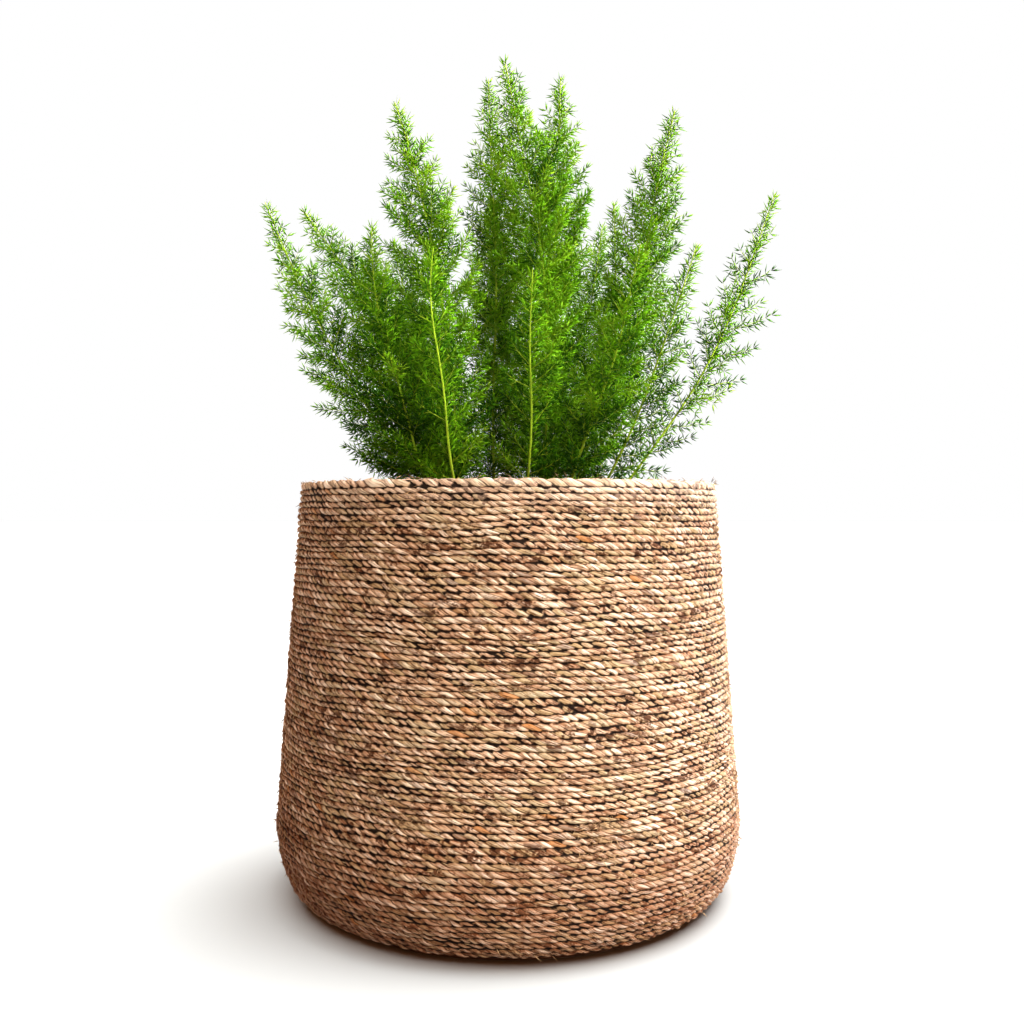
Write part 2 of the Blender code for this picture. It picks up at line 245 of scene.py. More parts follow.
@dataclass
class Surface:
    """Points and triangles of a piece, with what its material reads from them.

    Attributes:
        triangles: Numbers of three points each, turned so that the face looks outwards.
        values: For each name, one number for each point.
        lay: Pattern coordinates of the three corners of each triangle.
    """

    points: Array
    triangles: Array
    values: dict[str, Array] = field(default_factory=dict)
    lay: Array | None = None

    def piece(self, name: str, material: Material, slot: str) -> bpy.types.Object:
        """Put the surface into the scene as a smooth piece that rides on the planter.

        Args:
            name: Name of the piece.
            material: Its finish.
            slot: The record's material slot for it; not used.

        Returns:
            The new object.
        """
        mesh = bpy.data.meshes.new(name)
        mesh.vertices.add(len(self.points))
        mesh.vertices.foreach_set("co", self.points.astype(np.float32).ravel())
        mesh.loops.add(self.triangles.size)
        mesh.loops.foreach_set("vertex_index", self.triangles.astype(np.int32).ravel())
        mesh.polygons.add(len(self.triangles))
        starts = np.arange(0, self.triangles.size, 3, dtype=np.int32)
        mesh.polygons.foreach_set("loop_start", starts)
        mesh.update(calc_edges=True)
        if self.lay is not None:
            layer = mesh.uv_layers.new(name="lay")
            layer.data.foreach_set("uv", self.lay.astype(np.float32).ravel())
        for key, numbers in self.values.items():
            stored = mesh.attributes.new(key, "FLOAT", "POINT")
            stored.data.foreach_set("value", numbers.astype(np.float32).ravel())
        mesh.validate()
        mesh.shade_smooth()
        mesh.materials.append(material)
        item = bpy.data.objects.new(name, mesh)
        bpy.context.scene.collection.objects.link(item)
        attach(item, BODY)
        LOG.info("%s: %d triangles", name, len(self.triangles))
        return item


def joined(parts: list[Surface]) -> Surface:
    """Put several surfaces into one.

    Args:
        parts: Surfaces that store the same values and have no pattern coordinates.

    Returns:
        One surface with all their points and triangles.
    """
    starts = np.cumsum([0] + [len(part.points) for part in parts[:-1]])
    return Surface(
        points=np.concatenate([part.points for part in parts]),
        triangles=np.concatenate([part.triangles + start for part, start in zip(parts, starts)]),
        values={
            key: np.concatenate([part.values[key] for part in parts]) for key in parts[0].values
        },
    )


def repeated(faces: list[list[int]], count: int, size: int) -> Array:
    """Triangles of many like forms, each with its own run of points of the given size."""
    return (np.array(faces)[None] + np.arange(count)[:, None, None] * size).reshape(-1, 3)


def cut_cells(low_left: Array, low_right: Array, high_left: Array, high_right: Array) -> Array:
    """Cut each cell of a grid in two, from its upper left to its lower right corner.

    Args:
        low_left: What belongs to each cell's lower left corner, lines by columns.
        low_right: The same for the lower right, and so on.
        high_left: Upper left.
        high_right: Upper right.

    Returns:
        Corners, lines by columns by two triangles by three.
    """
    first = np.stack([low_left, low_right, high_left], axis=2)
    second = np.stack([low_right, high_right, high_left], axis=2)
    return np.stack([first, second], axis=2)


def ring_grid(lines: int, columns: int, closed: bool) -> Array:
    """Triangles of a grid whose lines run once round an axis, seen from outside going upwards.

    Args:
        lines: How many rings of points there are.
        columns: How many points each ring has.
        closed: Whether the last ring joins the first.

    Returns:
        Numbers of three points for each triangle, two triangles for each cell in turn.
    """
    line = np.arange(lines if closed else lines - 1)[:, None] * columns
    above = (line + columns) % (lines * columns)
    column = np.arange(columns)
    after = (column + 1) % columns
    return cut_cells(line + column, line + after, above + column, above + after).reshape(-1, 3)


def closed_turning(rings: Array, low: Array | list, high: Array | list) -> Surface:
    """Close an open skin of rings with a fan of triangles at each end.

    Args:
        rings: Points of the skin, rings by columns by three.
        low: Point that closes the first ring.
        high: Point that closes the last ring.

    Returns:
        The closed surface.
    """
    count, columns = rings.shape[:2]
    column = np.arange(columns)
    after = (column + 1) % columns
    top = (count - 1) * columns
    pole = np.full(columns, count * columns)
    below = np.stack([after, column, pole], axis=1)
    above = np.stack([top + column, top + after, pole + 1], axis=1)
    sides = ring_grid(count, columns, closed=False)
    points = np.concatenate([rings.reshape(-1, 3), [low, high]])
    return Surface(points, np.concatenate([sides, below, above]))


def turned(radii: Array, heights: Array, angles: Array) -> Array:
    """Points of a profile carried round Z, the inputs broadcast together, with a last axis of 3."""
    parts = (radii * np.cos(angles), radii * np.sin(angles), heights + 0 * angles)
    return np.stack(np.broadcast_arrays(*parts), axis=-1)


def full_turn(count: int) -> Array:
    """Evenly spaced angles once round, the first at 0."""
    return np.arange(count) * (2 * math.pi / count)


def waves(angles: Array, chance: Chance, rows: int, low: int, high: int) -> Array:
    """Smooth random wander round the planter, about 1 high.

    It is a sum of sines of whole numbers of waves, each with a random phase and a weight that
    falls with that number.

    Args:
        angles: Angles round the axis.
        chance: Source of the phases.
        rows: How many independent lines are wanted.
        low: Fewest waves.
        high: Most waves.

    Returns:
        An array of rows by angles.
    """
    counts = np.arange(low, high + 1)
    phases = chance.uniform(0, 2 * math.pi, (rows, len(counts), 1))
    weights = 1 / np.sqrt(counts)
    weights = weights / np.linalg.norm(weights) * math.sqrt(2)
    return (np.sin(counts[:, None] * angles + phases) * weights[:, None]).sum(axis=1)


# Vectors along paths


def unit(vectors: Array) -> Array:
    """Vectors of the same directions with length 1."""
    return vectors / np.linalg.norm(vectors, axis=-1, keepdims=True)


def across(heading: Array, guide: Array, angle: Array) -> Array:
    """Unit vectors at right angles to headings: the guide's part there, turned by the angle.

    Args:
        heading: Unit headings.
        guide: Vectors that give the side for an angle of 0.
        angle: Turn about each heading.

    Returns:
        The side vectors.
    """
    along = (guide * heading).sum(axis=-1, keepdims=True)
    side = unit(guide - heading * along)
    angle = np.asarray(angle)[..., None]
    return side * np.cos(angle) + np.cross(heading, side) * np.sin(angle)


def leaning(heading: Array, outwards: Array, lean: Array) -> Array:
    """Unit vectors that lean outwards from headings by an angle."""
    lean = np.asarray(lean)[..., None]
    return outwards * np.sin(lean) + heading * np.cos(lean)


def path_length(path: Array) -> float:
    """Length of a broken line."""
    return np.linalg.norm(np.diff(path, axis=0), axis=1).sum()


def path_guide(path: Array, count: int) -> Array:
    """The same vector at right angles to the start of a path, in rows."""
    return np.tile(Vector(path[1] - path[0]).orthogonal(), (count, 1))


def along_path(path: Array, distances: Array) -> tuple[Array, Array]:
    """Places and headings at distances along a broken line.

    Args:
        path: Points of the line.
        distances: Distances from its first point.

    Returns:
        Places and unit headings.
    """
    spans = np.linalg.norm(np.diff(path, axis=0), axis=1)
    reached = np.concatenate([[0], np.cumsum(spans)])
    headings = unit(np.gradient(path, reached, axis=0))
    place, heading = (
        np.stack([np.interp(distances, reached, rows[:, k]) for k in range(3)], axis=1)
        for rows in (path, headings)
    )
    return place, unit(heading)


def numbered(counts: Array) -> tuple[Array, Array]:
    """For every one of the counted things, the number of its group and its own number there."""
    index = np.repeat(np.arange(len(counts)), counts)
    return index, np.arange(len(index)) - np.repeat(np.cumsum(counts) - counts, counts)


# Finishes


@dataclass(frozen=True)
class SeagrassFinish:
    """Dry twisted seagrass: a colour for each lump of cord, streaks along it, painted shade in its
    creases, grooves and lowest turns, and a painted highlight on its top.
    """

    pale: Colour = srgb(232, 214, 192)
    straw: Colour = srgb(196, 160, 128)
    tan: Colour = srgb(146, 98, 64)
    olive: Colour = srgb(172, 152, 108)
    rust: Colour = srgb(186, 112, 40)
    bark: Colour = srgb(84, 48, 24)
    # Colour of the painted shade on the lowest turns.
    low: Colour = srgb(126, 76, 44)
    # Colour of the painted shade in the creases and grooves.
    shade: Colour = srgb(24, 10, 3)
    roughness: float = 0.62
    lump_skew: float = 1.215
    fibre_depth: float = 0.0011

    def material(self) -> Material:
        """Colour each lump of cord, streak it, and paint shade into its creases and grooves.

        The pattern coordinates are the place along the cord in lumps, and the turn's number
        with the share across it. Skewed by that share, because lumps lie aslant, the whole part
        of the first is the lump's own number.

        Returns:
            The material.
        """
        maker = MaterialMaker("seagrass_cord")
        lay = maker.add("ShaderNodeUVMap", {"uv_map": "lay"}, {})
        along, turn_share = maker.part(lay, "X"), maker.part(lay, "Y")
        turn = turn_share.floor()
        slant = along + turn_share.fract() * self.lump_skew
        lump = slant.floor()
        place = maker.place()

        own = maker.cell_value(maker.vector(lump, turn, 0.0))
        odd = maker.cell_value(maker.vector(lump, turn, 7.0))
        patch = maker.noise(maker.vector(along * 0.11, turn_share * 0.4, 0.0), 1.0, 3.0, 0.6)
        blade = maker.noise(maker.vector(slant * 2.2, along * 0.5, turn * 5.0), 1.0, 2.0, 0.6)
        fibre = maker.noise(maker.vector(slant * 5.2, along * 0.7, turn * 5.0), 1.0, 2.0, 0.8)

        rise = maker.value("rise")
        # The rise term pales the crests, partly as worn bleached grass and partly as painted
        # highlight, and darkens the hollows as painted shade.
        tone = own * 0.25 + blade * 0.80 + fibre * 1.25 + patch * 0.70 + rise * 0.50 - 1.40
        colour = maker.mix(tone.ramp(0.00, 0.42), self.tan, self.straw)
        colour = maker.mix(tone.ramp(0.36, 0.86), colour, self.pale)
        colour = maker.mix((odd * 7.0).fract().ramp(0.45, 1.0) * 0.55, colour, self.olive)
        colour = maker.mix(odd.ramp(0.990, 0.994) * 0.6, colour, self.rust)
        colour = maker.mix((1 - odd).ramp(0.95, 0.99) * 0.5, colour, self.bark)
        split = fibre.ramp(0.46, 0.36)
        colour = maker.mix(split * 0.85, colour, self.bark)
        tangle = maker.noise(place, 120.0, 3.0, 0.7).ramp(0.51, 0.61)
        colour = maker.mix(tangle * patch.ramp(0.60, 0.42) * 0.9, colour, self.bark)
        height = maker.part(place, "Z")
        # Painted shade: the lowest turns grow darker towards the bottom, where the belly shades
        # them.
        colour = maker.mix(height.ramp(0.120, 0.03) * 0.5, colour, self.low)
        # Painted highlight: the top turns grow paler towards the rim.
        colour = maker.mix(height.ramp(0.310, 0.345) * 0.25, colour, self.pale)

        # Painted shade: the creases between lumps and the sunk grooves between turns are darkened
        # towards the shade colour.
        crease = 1 - (0.5 - (slant.fract() - 0.5).size()).ramp(0.0, 0.10)
        sunk = 1 - rise.ramp(0.22, 0.40)
        colour = maker.mix(crease * 0.70, colour, self.shade)
        colour = maker.mix(sunk * 0.97, colour, self.shade)

        grain = maker.noise(place, 900.0, 2.0, 0.6)
        relief = blade * 0.8 + fibre * 1.6 + grain * 0.35 - crease * 0.5
        normal = maker.bump(relief, self.fibre_depth, 0.9)
        constants = {"Roughness": self.roughness, "Specular IOR Level": 0.14}
        return maker.finish({**constants, "Base Color": colour, "Normal": normal})


@dataclass(frozen=True)
class FibreFinish:
    """Loose ends of grass on the cord, each of one tone."""

    dark: Colour = srgb(98, 60, 34)
    light: Colour = srgb(222, 188, 142)

    def material(self) -> Material:
        """Blend the two tones by the number that each fibre stores.

        Returns:
            The material.
        """
        maker = MaterialMaker("loose_grass")
        streak = maker.noise(maker.place(), 700.0, 2.0)
        tone = maker.value("tone") * 0.8 + streak * 0.3 - 0.1
        colour = maker.mix(tone, self.dark, self.light)
        return maker.finish({"Roughness": 0.8, "Specular IOR Level": 0.25, "Base Color": colour})


@dataclass(frozen=True)
class MouldingFinish:
    """Matte brown moulding with a fine grain and faint cloudiness."""

    brown: Colour = srgb(124, 88, 60)
    deep: Colour = srgb(88, 58, 38)
    least_roughness: float = 0.56

    def material(self) -> Material:
        """Blend the browns and the roughness by large soft noise.

        Returns:
            The material.
        """
        maker = MaterialMaker("brown_moulding")
        place = maker.place()
        cloud = maker.noise(place, 22.0, 3.0, 0.6)
        grain = maker.noise(place, 1400.0, 2.0)
        inputs = {
            "Specular IOR Level": 0.35,
            "Base Color": maker.mix(cloud.ramp(0.3, 0.7), self.deep, self.brown),
            "Roughness": cloud * 0.12 + self.least_roughness,
            "Normal": maker.bump(grain, 0.0002, 0.6),
        }
        return maker.finish(inputs)


@dataclass(frozen=True)
class MixFinish:
    """Damp potting mix: dark peat with brown bark and a few pale grains."""

    peat: Colour = srgb(44, 31, 22)
    bark: Colour = srgb(96, 66, 42)
    grain: Colour = srgb(176, 160, 138)

    def material(self) -> Material:
        """Blend peat and bark by noise, and by the tone that each crumb stores.

        Returns:
            The material.
        """
        maker = MaterialMaker("potting_mix")
        place = maker.place()
        tone = maker.value("tone")
        coarse = maker.noise(place, 160.0, 4.0, 0.65)
        fine = maker.noise(place, 800.0, 3.0, 0.6)
        share = (coarse * 0.6 + tone * 0.8 - 0.2).ramp(0.25, 0.75)
        colour = maker.mix(share, self.peat, self.bark)
        colour = maker.mix(tone.ramp(0.93, 0.95), colour, self.grain)
        normal = maker.bump(coarse + fine * 0.4, 0.0012, 0.9)
        constants = {"Roughness": 0.93, "Specular IOR Level": 0.2}
        return maker.finish({**constants, "Base Color": colour, "Normal": normal})


@dataclass(frozen=True)
class FoliageFinish:
    """Fresh green needles that pale towards their points, on yellow-green stems."""

    deep: Colour = srgb(42, 98, 12)
    fresh: Colour = srgb(130, 188, 26)
    young: Colour = srgb(168, 198, 54)
    stem: Colour = srgb(178, 200, 66)
    old_stem: Colour = srgb(126, 122, 48)
    sheen: Colour = (0.55, 1.0, 0.25)
    roughness: float = 0.55

    def material(self) -> Material:
        """Blend the greens by what the mesh stores.

        The tone is each needle's own, with painted shade low in the plume and near the stems;
        the run goes from its root to its point, and the kind is 1 on needles and 0 on stems and
        twigs, where the run gives the age instead.

        Returns:
            The material.
        """
        maker = MaterialMaker("fern_green")
        run = maker.value("run")
        mottle = maker.noise(maker.place(), 60.0, 2.0) * 0.3 - 0.15
        shade = maker.value("tone") + mottle
        green = maker.mix(shade.ramp(0.05, 0.60), self.deep, self.fresh)
        green = maker.mix(shade.ramp(0.55, 1.0) * 0.7 + run * 0.10, green, self.young)
        bark = maker.mix(run.ramp(0.0, 0.35), self.old_stem, self.stem)
        bark = maker.mix(shade.ramp(0.0, 1.0) * 0.3, bark, self.fresh)
        inputs = {
            "Roughness": self.roughness,
            "Specular IOR Level": 0.12,
            "Specular Tint": self.sheen,
            "Base Color": maker.mix(maker.value("kind"), bark, green),
        }
        return maker.finish(inputs)


@dataclass(frozen=True)
class FloorFinish:
    """Plain pale floor."""

    pale: Colour = srgb(198, 203, 204)
    cloudiness: float = 1.02

    def material(self) -> Material:
        """One pale matte colour with a trace of cloudiness.

        Returns:
            The material.
        """
        maker = MaterialMaker("studio_floor")
        brighter = tuple(min(1.0, share * self.cloudiness) for share in self.pale)
        colour = maker.mix(maker.noise(maker.place(), 2.0), self.pale, brighter)
        return maker.finish({"Roughness": 0.9, "Specular IOR Level": 0.1, "Base Color": colour})


# Planter


@dataclass(frozen=True)
class PlanterOutline:
    """Driving sizes of the planter, as the solids have them."""

    height: float = 0.344
    rim_radius: float = 0.178
    belly_radius: float = 0.198
    belly_height: float = 0.064
    foot_radius: float = 0.168
    gap: float = 0.0003
    winding: float = 0.0055
    shell: float = 0.003
    lip: float = 0.0055
    plate_radius: float = 0.1705
    plate: float = 0.004
    floor: float = 0.0075
    mix_top: float = 0.312
    mix_fall: float = 0.007

    def side_radius(self, heights: Array, inset: float = 0.0, floor: float = 0.0) -> Array:
        """Radius of a skin of the planter's side.

        Above the belly the side is straight. Below it a quarter ellipse, centred over the foot,
        ends at the height given as floor.

        Args:
            heights: Heights of the points.
            inset: How far the skin lies inside the planter's outline.
            floor: Height where the quarter ellipse ends.

        Returns:
            Radius at each height.
        """
        heights = np.asarray(heights, float)
        rise = (heights - self.belly_height) / (self.height - self.belly_height)
        straight = self.belly_radius + (self.rim_radius - self.belly_radius) * rise - inset
        drop = np.clip((self.belly_height - heights) / (self.belly_height - floor), 0, 1)
        reach = self.belly_radius - self.foot_radius - inset
        corner = self.foot_radius + reach * np.sqrt(1 - drop**2)
        return np.where(heights >= self.belly_height, straight, corner)

    def corner_heights(self, floor: float, count: int) -> Array:
        """Heights up the lower corner, closer together low down where it curves most."""
        angles = np.linspace(0, math.pi / 2, count, endpoint=False)
        return self.belly_height - (self.belly_height - floor) * np.cos(angles)

    def mix_height(self, radius: Array) -> Array:
        """Height of the mound of potting mix at a distance from the axis."""
        edge = self.side_radius(self.mix_top, self.winding + self.shell)
        return self.mix_top - self.mix_fall * (radius / edge) ** 2


@dataclass
class CordWinding:
    """Turns of two-ply cord laid round the planter from the base plate over the rim.

    Attributes:
        lump: Length of cord from one lump to the next, half a turn of its two strands.
        rim_lump: The same for the thicker cord on the rim.
        orbit: Distance of a strand's middle from the cord's middle.
        strand: Radius of a strand.
        groove: Height of the surface between two turns over the cord's middle.
        wander: How far a turn strays up and down.
        neighbours: Square of how many turns stray together.
        settled: Turns near both ends that stray less.
        drift: How far the lumps stray along the cord, in lumps.
        size_limits: Bounds of the lumps' random size, in spreads.
        lift_limits: Bounds of how far they stand out, in spreads.
    """

    outline: PlanterOutline
    pitch: float = 0.0050
    lump: float = 0.0087
    rim_turns: int = 2
    rim_lump: float = 0.0118
    rim_size: float = 1.12
    orbit: float = 0.00102
    strand: float = 0.00152
    groove: float = 0.0006
    columns: int = 560
    lines_across: int = 5
    width_spread: float = 0.11
    wander: float = 0.0006
    wander_waves: tuple[int, int] = (2, 16)
    neighbours: float = 6
    settled: int = 4
    drift: float = 0.15
    drift_waves: tuple[int, int] = (9, 60)
    size_spread: float = 0.11
    size_limits: tuple[float, float] = (-2, 1.2)
    lift_spread: float = 0.00036
    lift_limits: tuple[float, float] = (-2, 1.5)
    unevenness: float = 0.00018
    uneven_waves: tuple[int, int] = (3, 40)
    corner: float = 0.0040
    corner_points: int = 8
    seed: int = 11
    parts: tuple[str, ...] = ("cord_turns_low", "cord_turns_middle", "cord_turns_high")

    @property
    def half(self) -> float:
        """Radius of the cord over its two strands."""
        return self.orbit + self.strand

    @property
    def sway(self) -> Array:
        """Places across a turn from -1 to 1, closer together at its edges."""
        return np.sin(np.linspace(-math.pi / 2, math.pi / 2, self.lines_across + 1))

    def skin(self) -> tuple[Array, Array, float, float]:
        """Outer outline of the winding, from the base plate up, over the rim and inside it.

        The side is followed by a quarter circle, the flat top, a second quarter circle and the
        short drop to the lip's underside.

        Returns:
            Distances along it, radii and heights as columns, and the distances to the side's
            upper end and to the middle of the flat top.
        """
        line = self.outline
        low = line.plate + line.gap
        curve = line.corner_heights(0.0, 60)
        shoulder = line.height - self.corner
        heights = np.concatenate(
            [[low], curve[curve > low], np.linspace(line.belly_height, shoulder, 40)]
        )
        side = np.stack([line.side_radius(heights), heights], axis=1)
        inner = line.rim_radius - line.winding - line.gap - line.shell
        turn = np.linspace(0, math.pi / 2, self.corner_points + 1)[1:]
        round_out = np.stack([np.cos(turn), np.sin(turn)], axis=1) * self.corner
        round_in = np.stack([-np.sin(turn), np.cos(turn)], axis=1) * self.corner
        outside = round_out + (line.rim_radius - self.corner, shoulder)
        inside = round_in + (inner + self.corner, shoulder)
        points = np.concatenate([side, outside, inside, [[inner, line.height - line.lip]]])
        steps = np.linalg.norm(np.diff(points, axis=0), axis=1)
        distance = np.concatenate([[0], np.cumsum(steps)])
        top = len(side) + self.corner_points
        return distance, points, distance[len(side) - 1], distance[top - 1 : top + 1].mean()

    def borders(self, angles: Array, chance: Chance, shoulder: float, rim: list[float]) -> Array:
        """Where each turn of cord starts along the outline, at each angle.

        Turns on the side vary in width and wander up and down with their neighbours, less so
        near both ends. The turns on the rim come after them.

        Args:
            angles: Angles round the axis.
            chance: Source of the widths.
            shoulder: Distance along the outline where the side's last turn ends.
            rim: Distances where the turns on the rim end.

        Returns:
            Distances, an array of borders by angles.
        """
        count = round(shoulder / self.pitch)
        widths = 1 + chance.normal(0, self.width_spread, count)
        starts = np.concatenate([[0], np.cumsum(widths)]) * shoulder / widths.sum()
        number = np.arange(count + 1)[:, None]
        slow = waves(angles, chance, count + 1, *self.wander_waves)
        blend = np.exp(-((number - number.T) ** 2) / self.neighbours)
        slow = (blend / np.linalg.norm(blend, axis=1, keepdims=True)) @ slow
        ends = np.minimum(1, np.minimum(number, count - number) / self.settled)
        side = starts[:, None] + self.wander * slow * ends
        return np.concatenate([side, np.array(rim)[:, None] + 0 * angles])

    def relief(self, along: Array, sizes: Array, lifts: Array) -> Array:
        """Height of the cord's surface over its middle.

        Two strands circle the cord's middle half a turn apart. Each strand is a circle, and the
        higher of the two shows.

        Args:
            along: Place along the cord in lumps, an array of turns by angles.
            sizes: For each turn and lump, the strand's size against the usual one.
            lifts: For each turn and lump, how far the strand stands out.

        Returns:
            Heights, an array of turns by places across by angles.
        """
        turns = np.arange(len(along))[:, None]
        offset = (self.sway * self.half)[None, :, None]
        heights = []
        for other in (0, 1):
            lump = np.floor(along) + other
            index = lump.astype(int) % sizes.shape[1]
            size = sizes[turns, index][:, None, :]
            angle = math.pi * (along - lump)[:, None, :]
            out = self.orbit * np.cos(angle) + lifts[turns, index][:, None, :]
            chord = (self.strand * size) ** 2 - (offset + self.orbit * np.sin(angle)) ** 2
            round_part = np.sqrt(np.maximum(chord, 0))
            heights.append(np.where(chord > 0, out + round_part, self.groove))
        height = np.maximum(np.maximum(*heights), self.groove)
        height[:, [0, -1]] = self.groove
        return height

    def closing_points(self, low: float, high: float, first: bool, last: bool) -> Array:
        """Hidden inner side of a piece of the winding, from its top down.

        Args:
            low: Height of the piece's lower end.
            high: Height of the piece's upper end.
            first: Whether the piece stands on the base plate.
            last: Whether the piece goes over the rim.

        Returns:
            Radius and height of each point as columns.
        """
        line = self.outline
        heights = np.linspace(line.height - line.lip if last else high, low, 7 if first else 2)
        if first:
            heights[-1] = line.plate + line.gap
        radii = line.side_radius(heights, line.winding, line.winding)
        points = np.stack([radii, heights], axis=1)
        if first:
            ledge = [[line.plate_radius + line.winding, line.plate + line.gap]]
            points = np.concatenate([points, ledge])
        return points

    def build(self, finish: SeagrassFinish) -> None:
        """Make the pieces of the winding.

        Args:
            finish: Look of the cord.
        """
        chance = np.random.default_rng(self.seed)
        material = finish.material()
        angles = full_turn(self.columns)
        distance, skin, shoulder, crown = self.skin()
        borders = self.borders(angles, chance, shoulder - self.half, [crown, distance[-1]])
        turns = len(borders) - 1

        middle = np.interp(borders.mean(axis=1), distance, skin[:, 0])[:turns]
        on_side = np.arange(turns) < turns - self.rim_turns
        spacing = np.where(on_side, self.lump, self.rim_lump)
        lumps = np.round(2 * math.pi * middle / spacing)[:, None]
        ring = np.append(angles, 2 * math.pi)
        drift = self.drift * waves(ring, chance, turns, *self.drift_waves)
        along = lumps * ring / (2 * math.pi) + chance.uniform(0, 40, (turns, 1)) + drift
        table = chance.normal(0, 1, (2, turns, int(lumps.max()) + 1))
        sizes = 1 + self.size_spread * np.clip(table[0], *self.size_limits)
        sizes[-self.rim_turns :] *= self.rim_size
        lifts = self.lift_spread * np.clip(table[1], *self.lift_limits)
        height = self.relief(along[:, :-1] - np.floor(along[:, :1]), sizes, lifts)
        uneven = waves(angles, chance, turns, *self.uneven_waves)
        height[:, 1:-1] += self.unevenness * uneven[:, None, :]

        share = 0.5 + 0.5 * self.sway
        spots = borders[:-1, None, :] + np.diff(borders, axis=0)[:, None, :] * share[None, :, None]
        spots = np.concatenate([spots[:, :-1].reshape(-1, self.columns), borders[-1:]])
        heights = np.concatenate([height[:, :-1].reshape(-1, self.columns), height[-1, -1:]])
        tangent = np.gradient(skin, distance, axis=0)
        normal = unit(np.stack([tangent[:, 1], -tangent[:, 0]], axis=1))
        depth = self.half - heights
        radius, level = (
            np.interp(spots, distance, line) - np.interp(spots, distance, out) * depth
            for line, out in zip(skin.T, normal.T)
        )
        cuts = np.linspace(0, turns, len(self.parts) + 1).round().astype(int)
        for number, name in enumerate(self.parts):
            start, stop = cuts[number], cuts[number + 1]
            lines = slice(start * self.lines_across, stop * self.lines_across + 1)
            low, high = level[lines][0].mean(), level[lines][-1].mean()
            hidden = self.closing_points(low, high, number == 0, number == len(self.parts) - 1)
            seen = turned(radius[lines], level[lines], angles)
            whole = np.concatenate([seen, turned(hidden[:, :1], hidden[:, 1:], angles)])
            flat = np.zeros((len(hidden), self.columns))
            surface = Surface(
                points=whole.reshape(-1, 3),
                triangles=ring_grid(len(whole), self.columns, closed=True),
                values={"rise": np.concatenate([heights[lines] / self.half, flat]).ravel()},
                lay=self.lay_of(along, start, stop, len(hidden)),
            )
            piece = surface.piece(name, material, "seagrass_cord")
            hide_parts("rope_winding")

    def lay_of(self, along: Array, start: int, stop: int, hidden: int) -> Array:
        """Pattern coordinates of a piece's triangles, its hidden side as one more turn.

        Args:
            along: Place along the cord, turns by angles, with the first angle again at the end.
            start: First turn of the piece.
            stop: Turn after its last one.
            hidden: How many hidden lines of points follow the visible ones.

        Returns:
            Coordinates, triangles by corners by two.
        """
        margin = 0.02
        share = margin + (1 - 2 * margin) * (0.5 + 0.5 * self.sway)
        turn = np.arange(start, stop)
        behind = np.full(hidden + 1, stop - 1)
        row = np.concatenate([np.repeat(turn, self.lines_across), behind])
        low, high = (
            np.concatenate([(turn[:, None] + shares).ravel(), behind + 1.5])[:, None]
            for shares in (share[:-1], share[1:])
        )
        corners = [
            np.stack(np.broadcast_arrays(side, level), axis=-1)
            for level in (low, high)
            for side in (along[row, :-1], along[row, 1:])
        ]
        return cut_cells(*corners).reshape(-1, 3, 2)


@dataclass
class LooseFibres:
    """Short ends of grass that stand a little off the cord.

    Attributes:
        sunk: How far under the planter's outline each starts.
        tufts: How many frayed places there are.
        tufted: Share of the fibres that stand in them.
        on_rim: Share of the fibres that stand on the rim.
        tilt: Mean and spread of the angle above the level.
        lift: Least angle off the cord, and the spread beyond it.
        droop: How far each bends back inwards and down.
    """

    outline: PlanterOutline
    count: int = 4600
    shortest: float = 0.003
    longest: float = 0.010
    width: float = 0.0006
    sunk: float = 0.0012
    tufts: int = 110
    tufted: float = 0.5
    tuft_size: float = 0.0045
    on_rim: float = 0.02
    tilt: tuple[float, float] = (-0.25, 0.45)
    lift: tuple[float, float] = (0.10, 0.35)
    droop: tuple[float, float] = (-0.3, -0.15)
    seed: int = 5

    def build(self, finish: FibreFinish) -> None:
        """Scatter the fibres over the winding as one piece.

        Each starts a little under the crests and runs mostly round the planter, lifted from it
        by a random angle.

        Args:
            finish: Look of the fibres.
        """
        chance = np.random.default_rng(self.seed)
        line = self.outline
        lowest, highest = 0.008, line.height - 0.002
        up = np.array([0, 0, 1.0])
        angle = chance.uniform(0, 2 * math.pi, self.count)
        height = chance.uniform(lowest, highest, self.count)
        tuft = chance.integers(0, self.tufts, self.count)
        near = chance.normal(0, self.tuft_size, (2, self.count))
        in_tuft = chance.uniform(size=self.count) < self.tufted
        angle = np.where(in_tuft, angle[tuft] + 2 * near[0] / line.belly_radius, angle)
        height = np.where(in_tuft, height[tuft] + 0.7 * near[1], height)
        rim = chance.uniform(size=self.count) < self.on_rim
        height = np.where(rim, line.height - self.sunk, height.clip(lowest, highest))
        root = turned(line.side_radius(height) - self.sunk, height, angle)
        outwards = turned(np.ones(self.count), np.zeros(self.count), angle)
        sideways = np.cross(up, outwards)
        sideways *= np.where(chance.uniform(size=self.count) < 0.5, -1, 1)[:, None]
        tilt = chance.normal(*self.tilt, self.count)
        tilt = np.where(rim, np.abs(tilt), tilt)
        lift = np.abs(chance.normal(0.0, self.lift[1], self.count)) + self.lift[0]
        heading = sideways * np.cos(tilt)[:, None] + up * np.sin(tilt)[:, None]
        heading = leaning(heading, outwards, lift)
        length = chance.uniform(self.shortest, self.longest, self.count)
        bend = unit(heading + self.droop[0] * outwards + self.droop[1] * up)
        fibres = Spindles(root, heading, bend, length, self.width)
        surface = fibres.surface({"tone": chance.uniform(0, 1, self.count)})
        surface.values.pop("run")
        surface.piece("loose_fibres", finish.material(), "seagrass_cord")


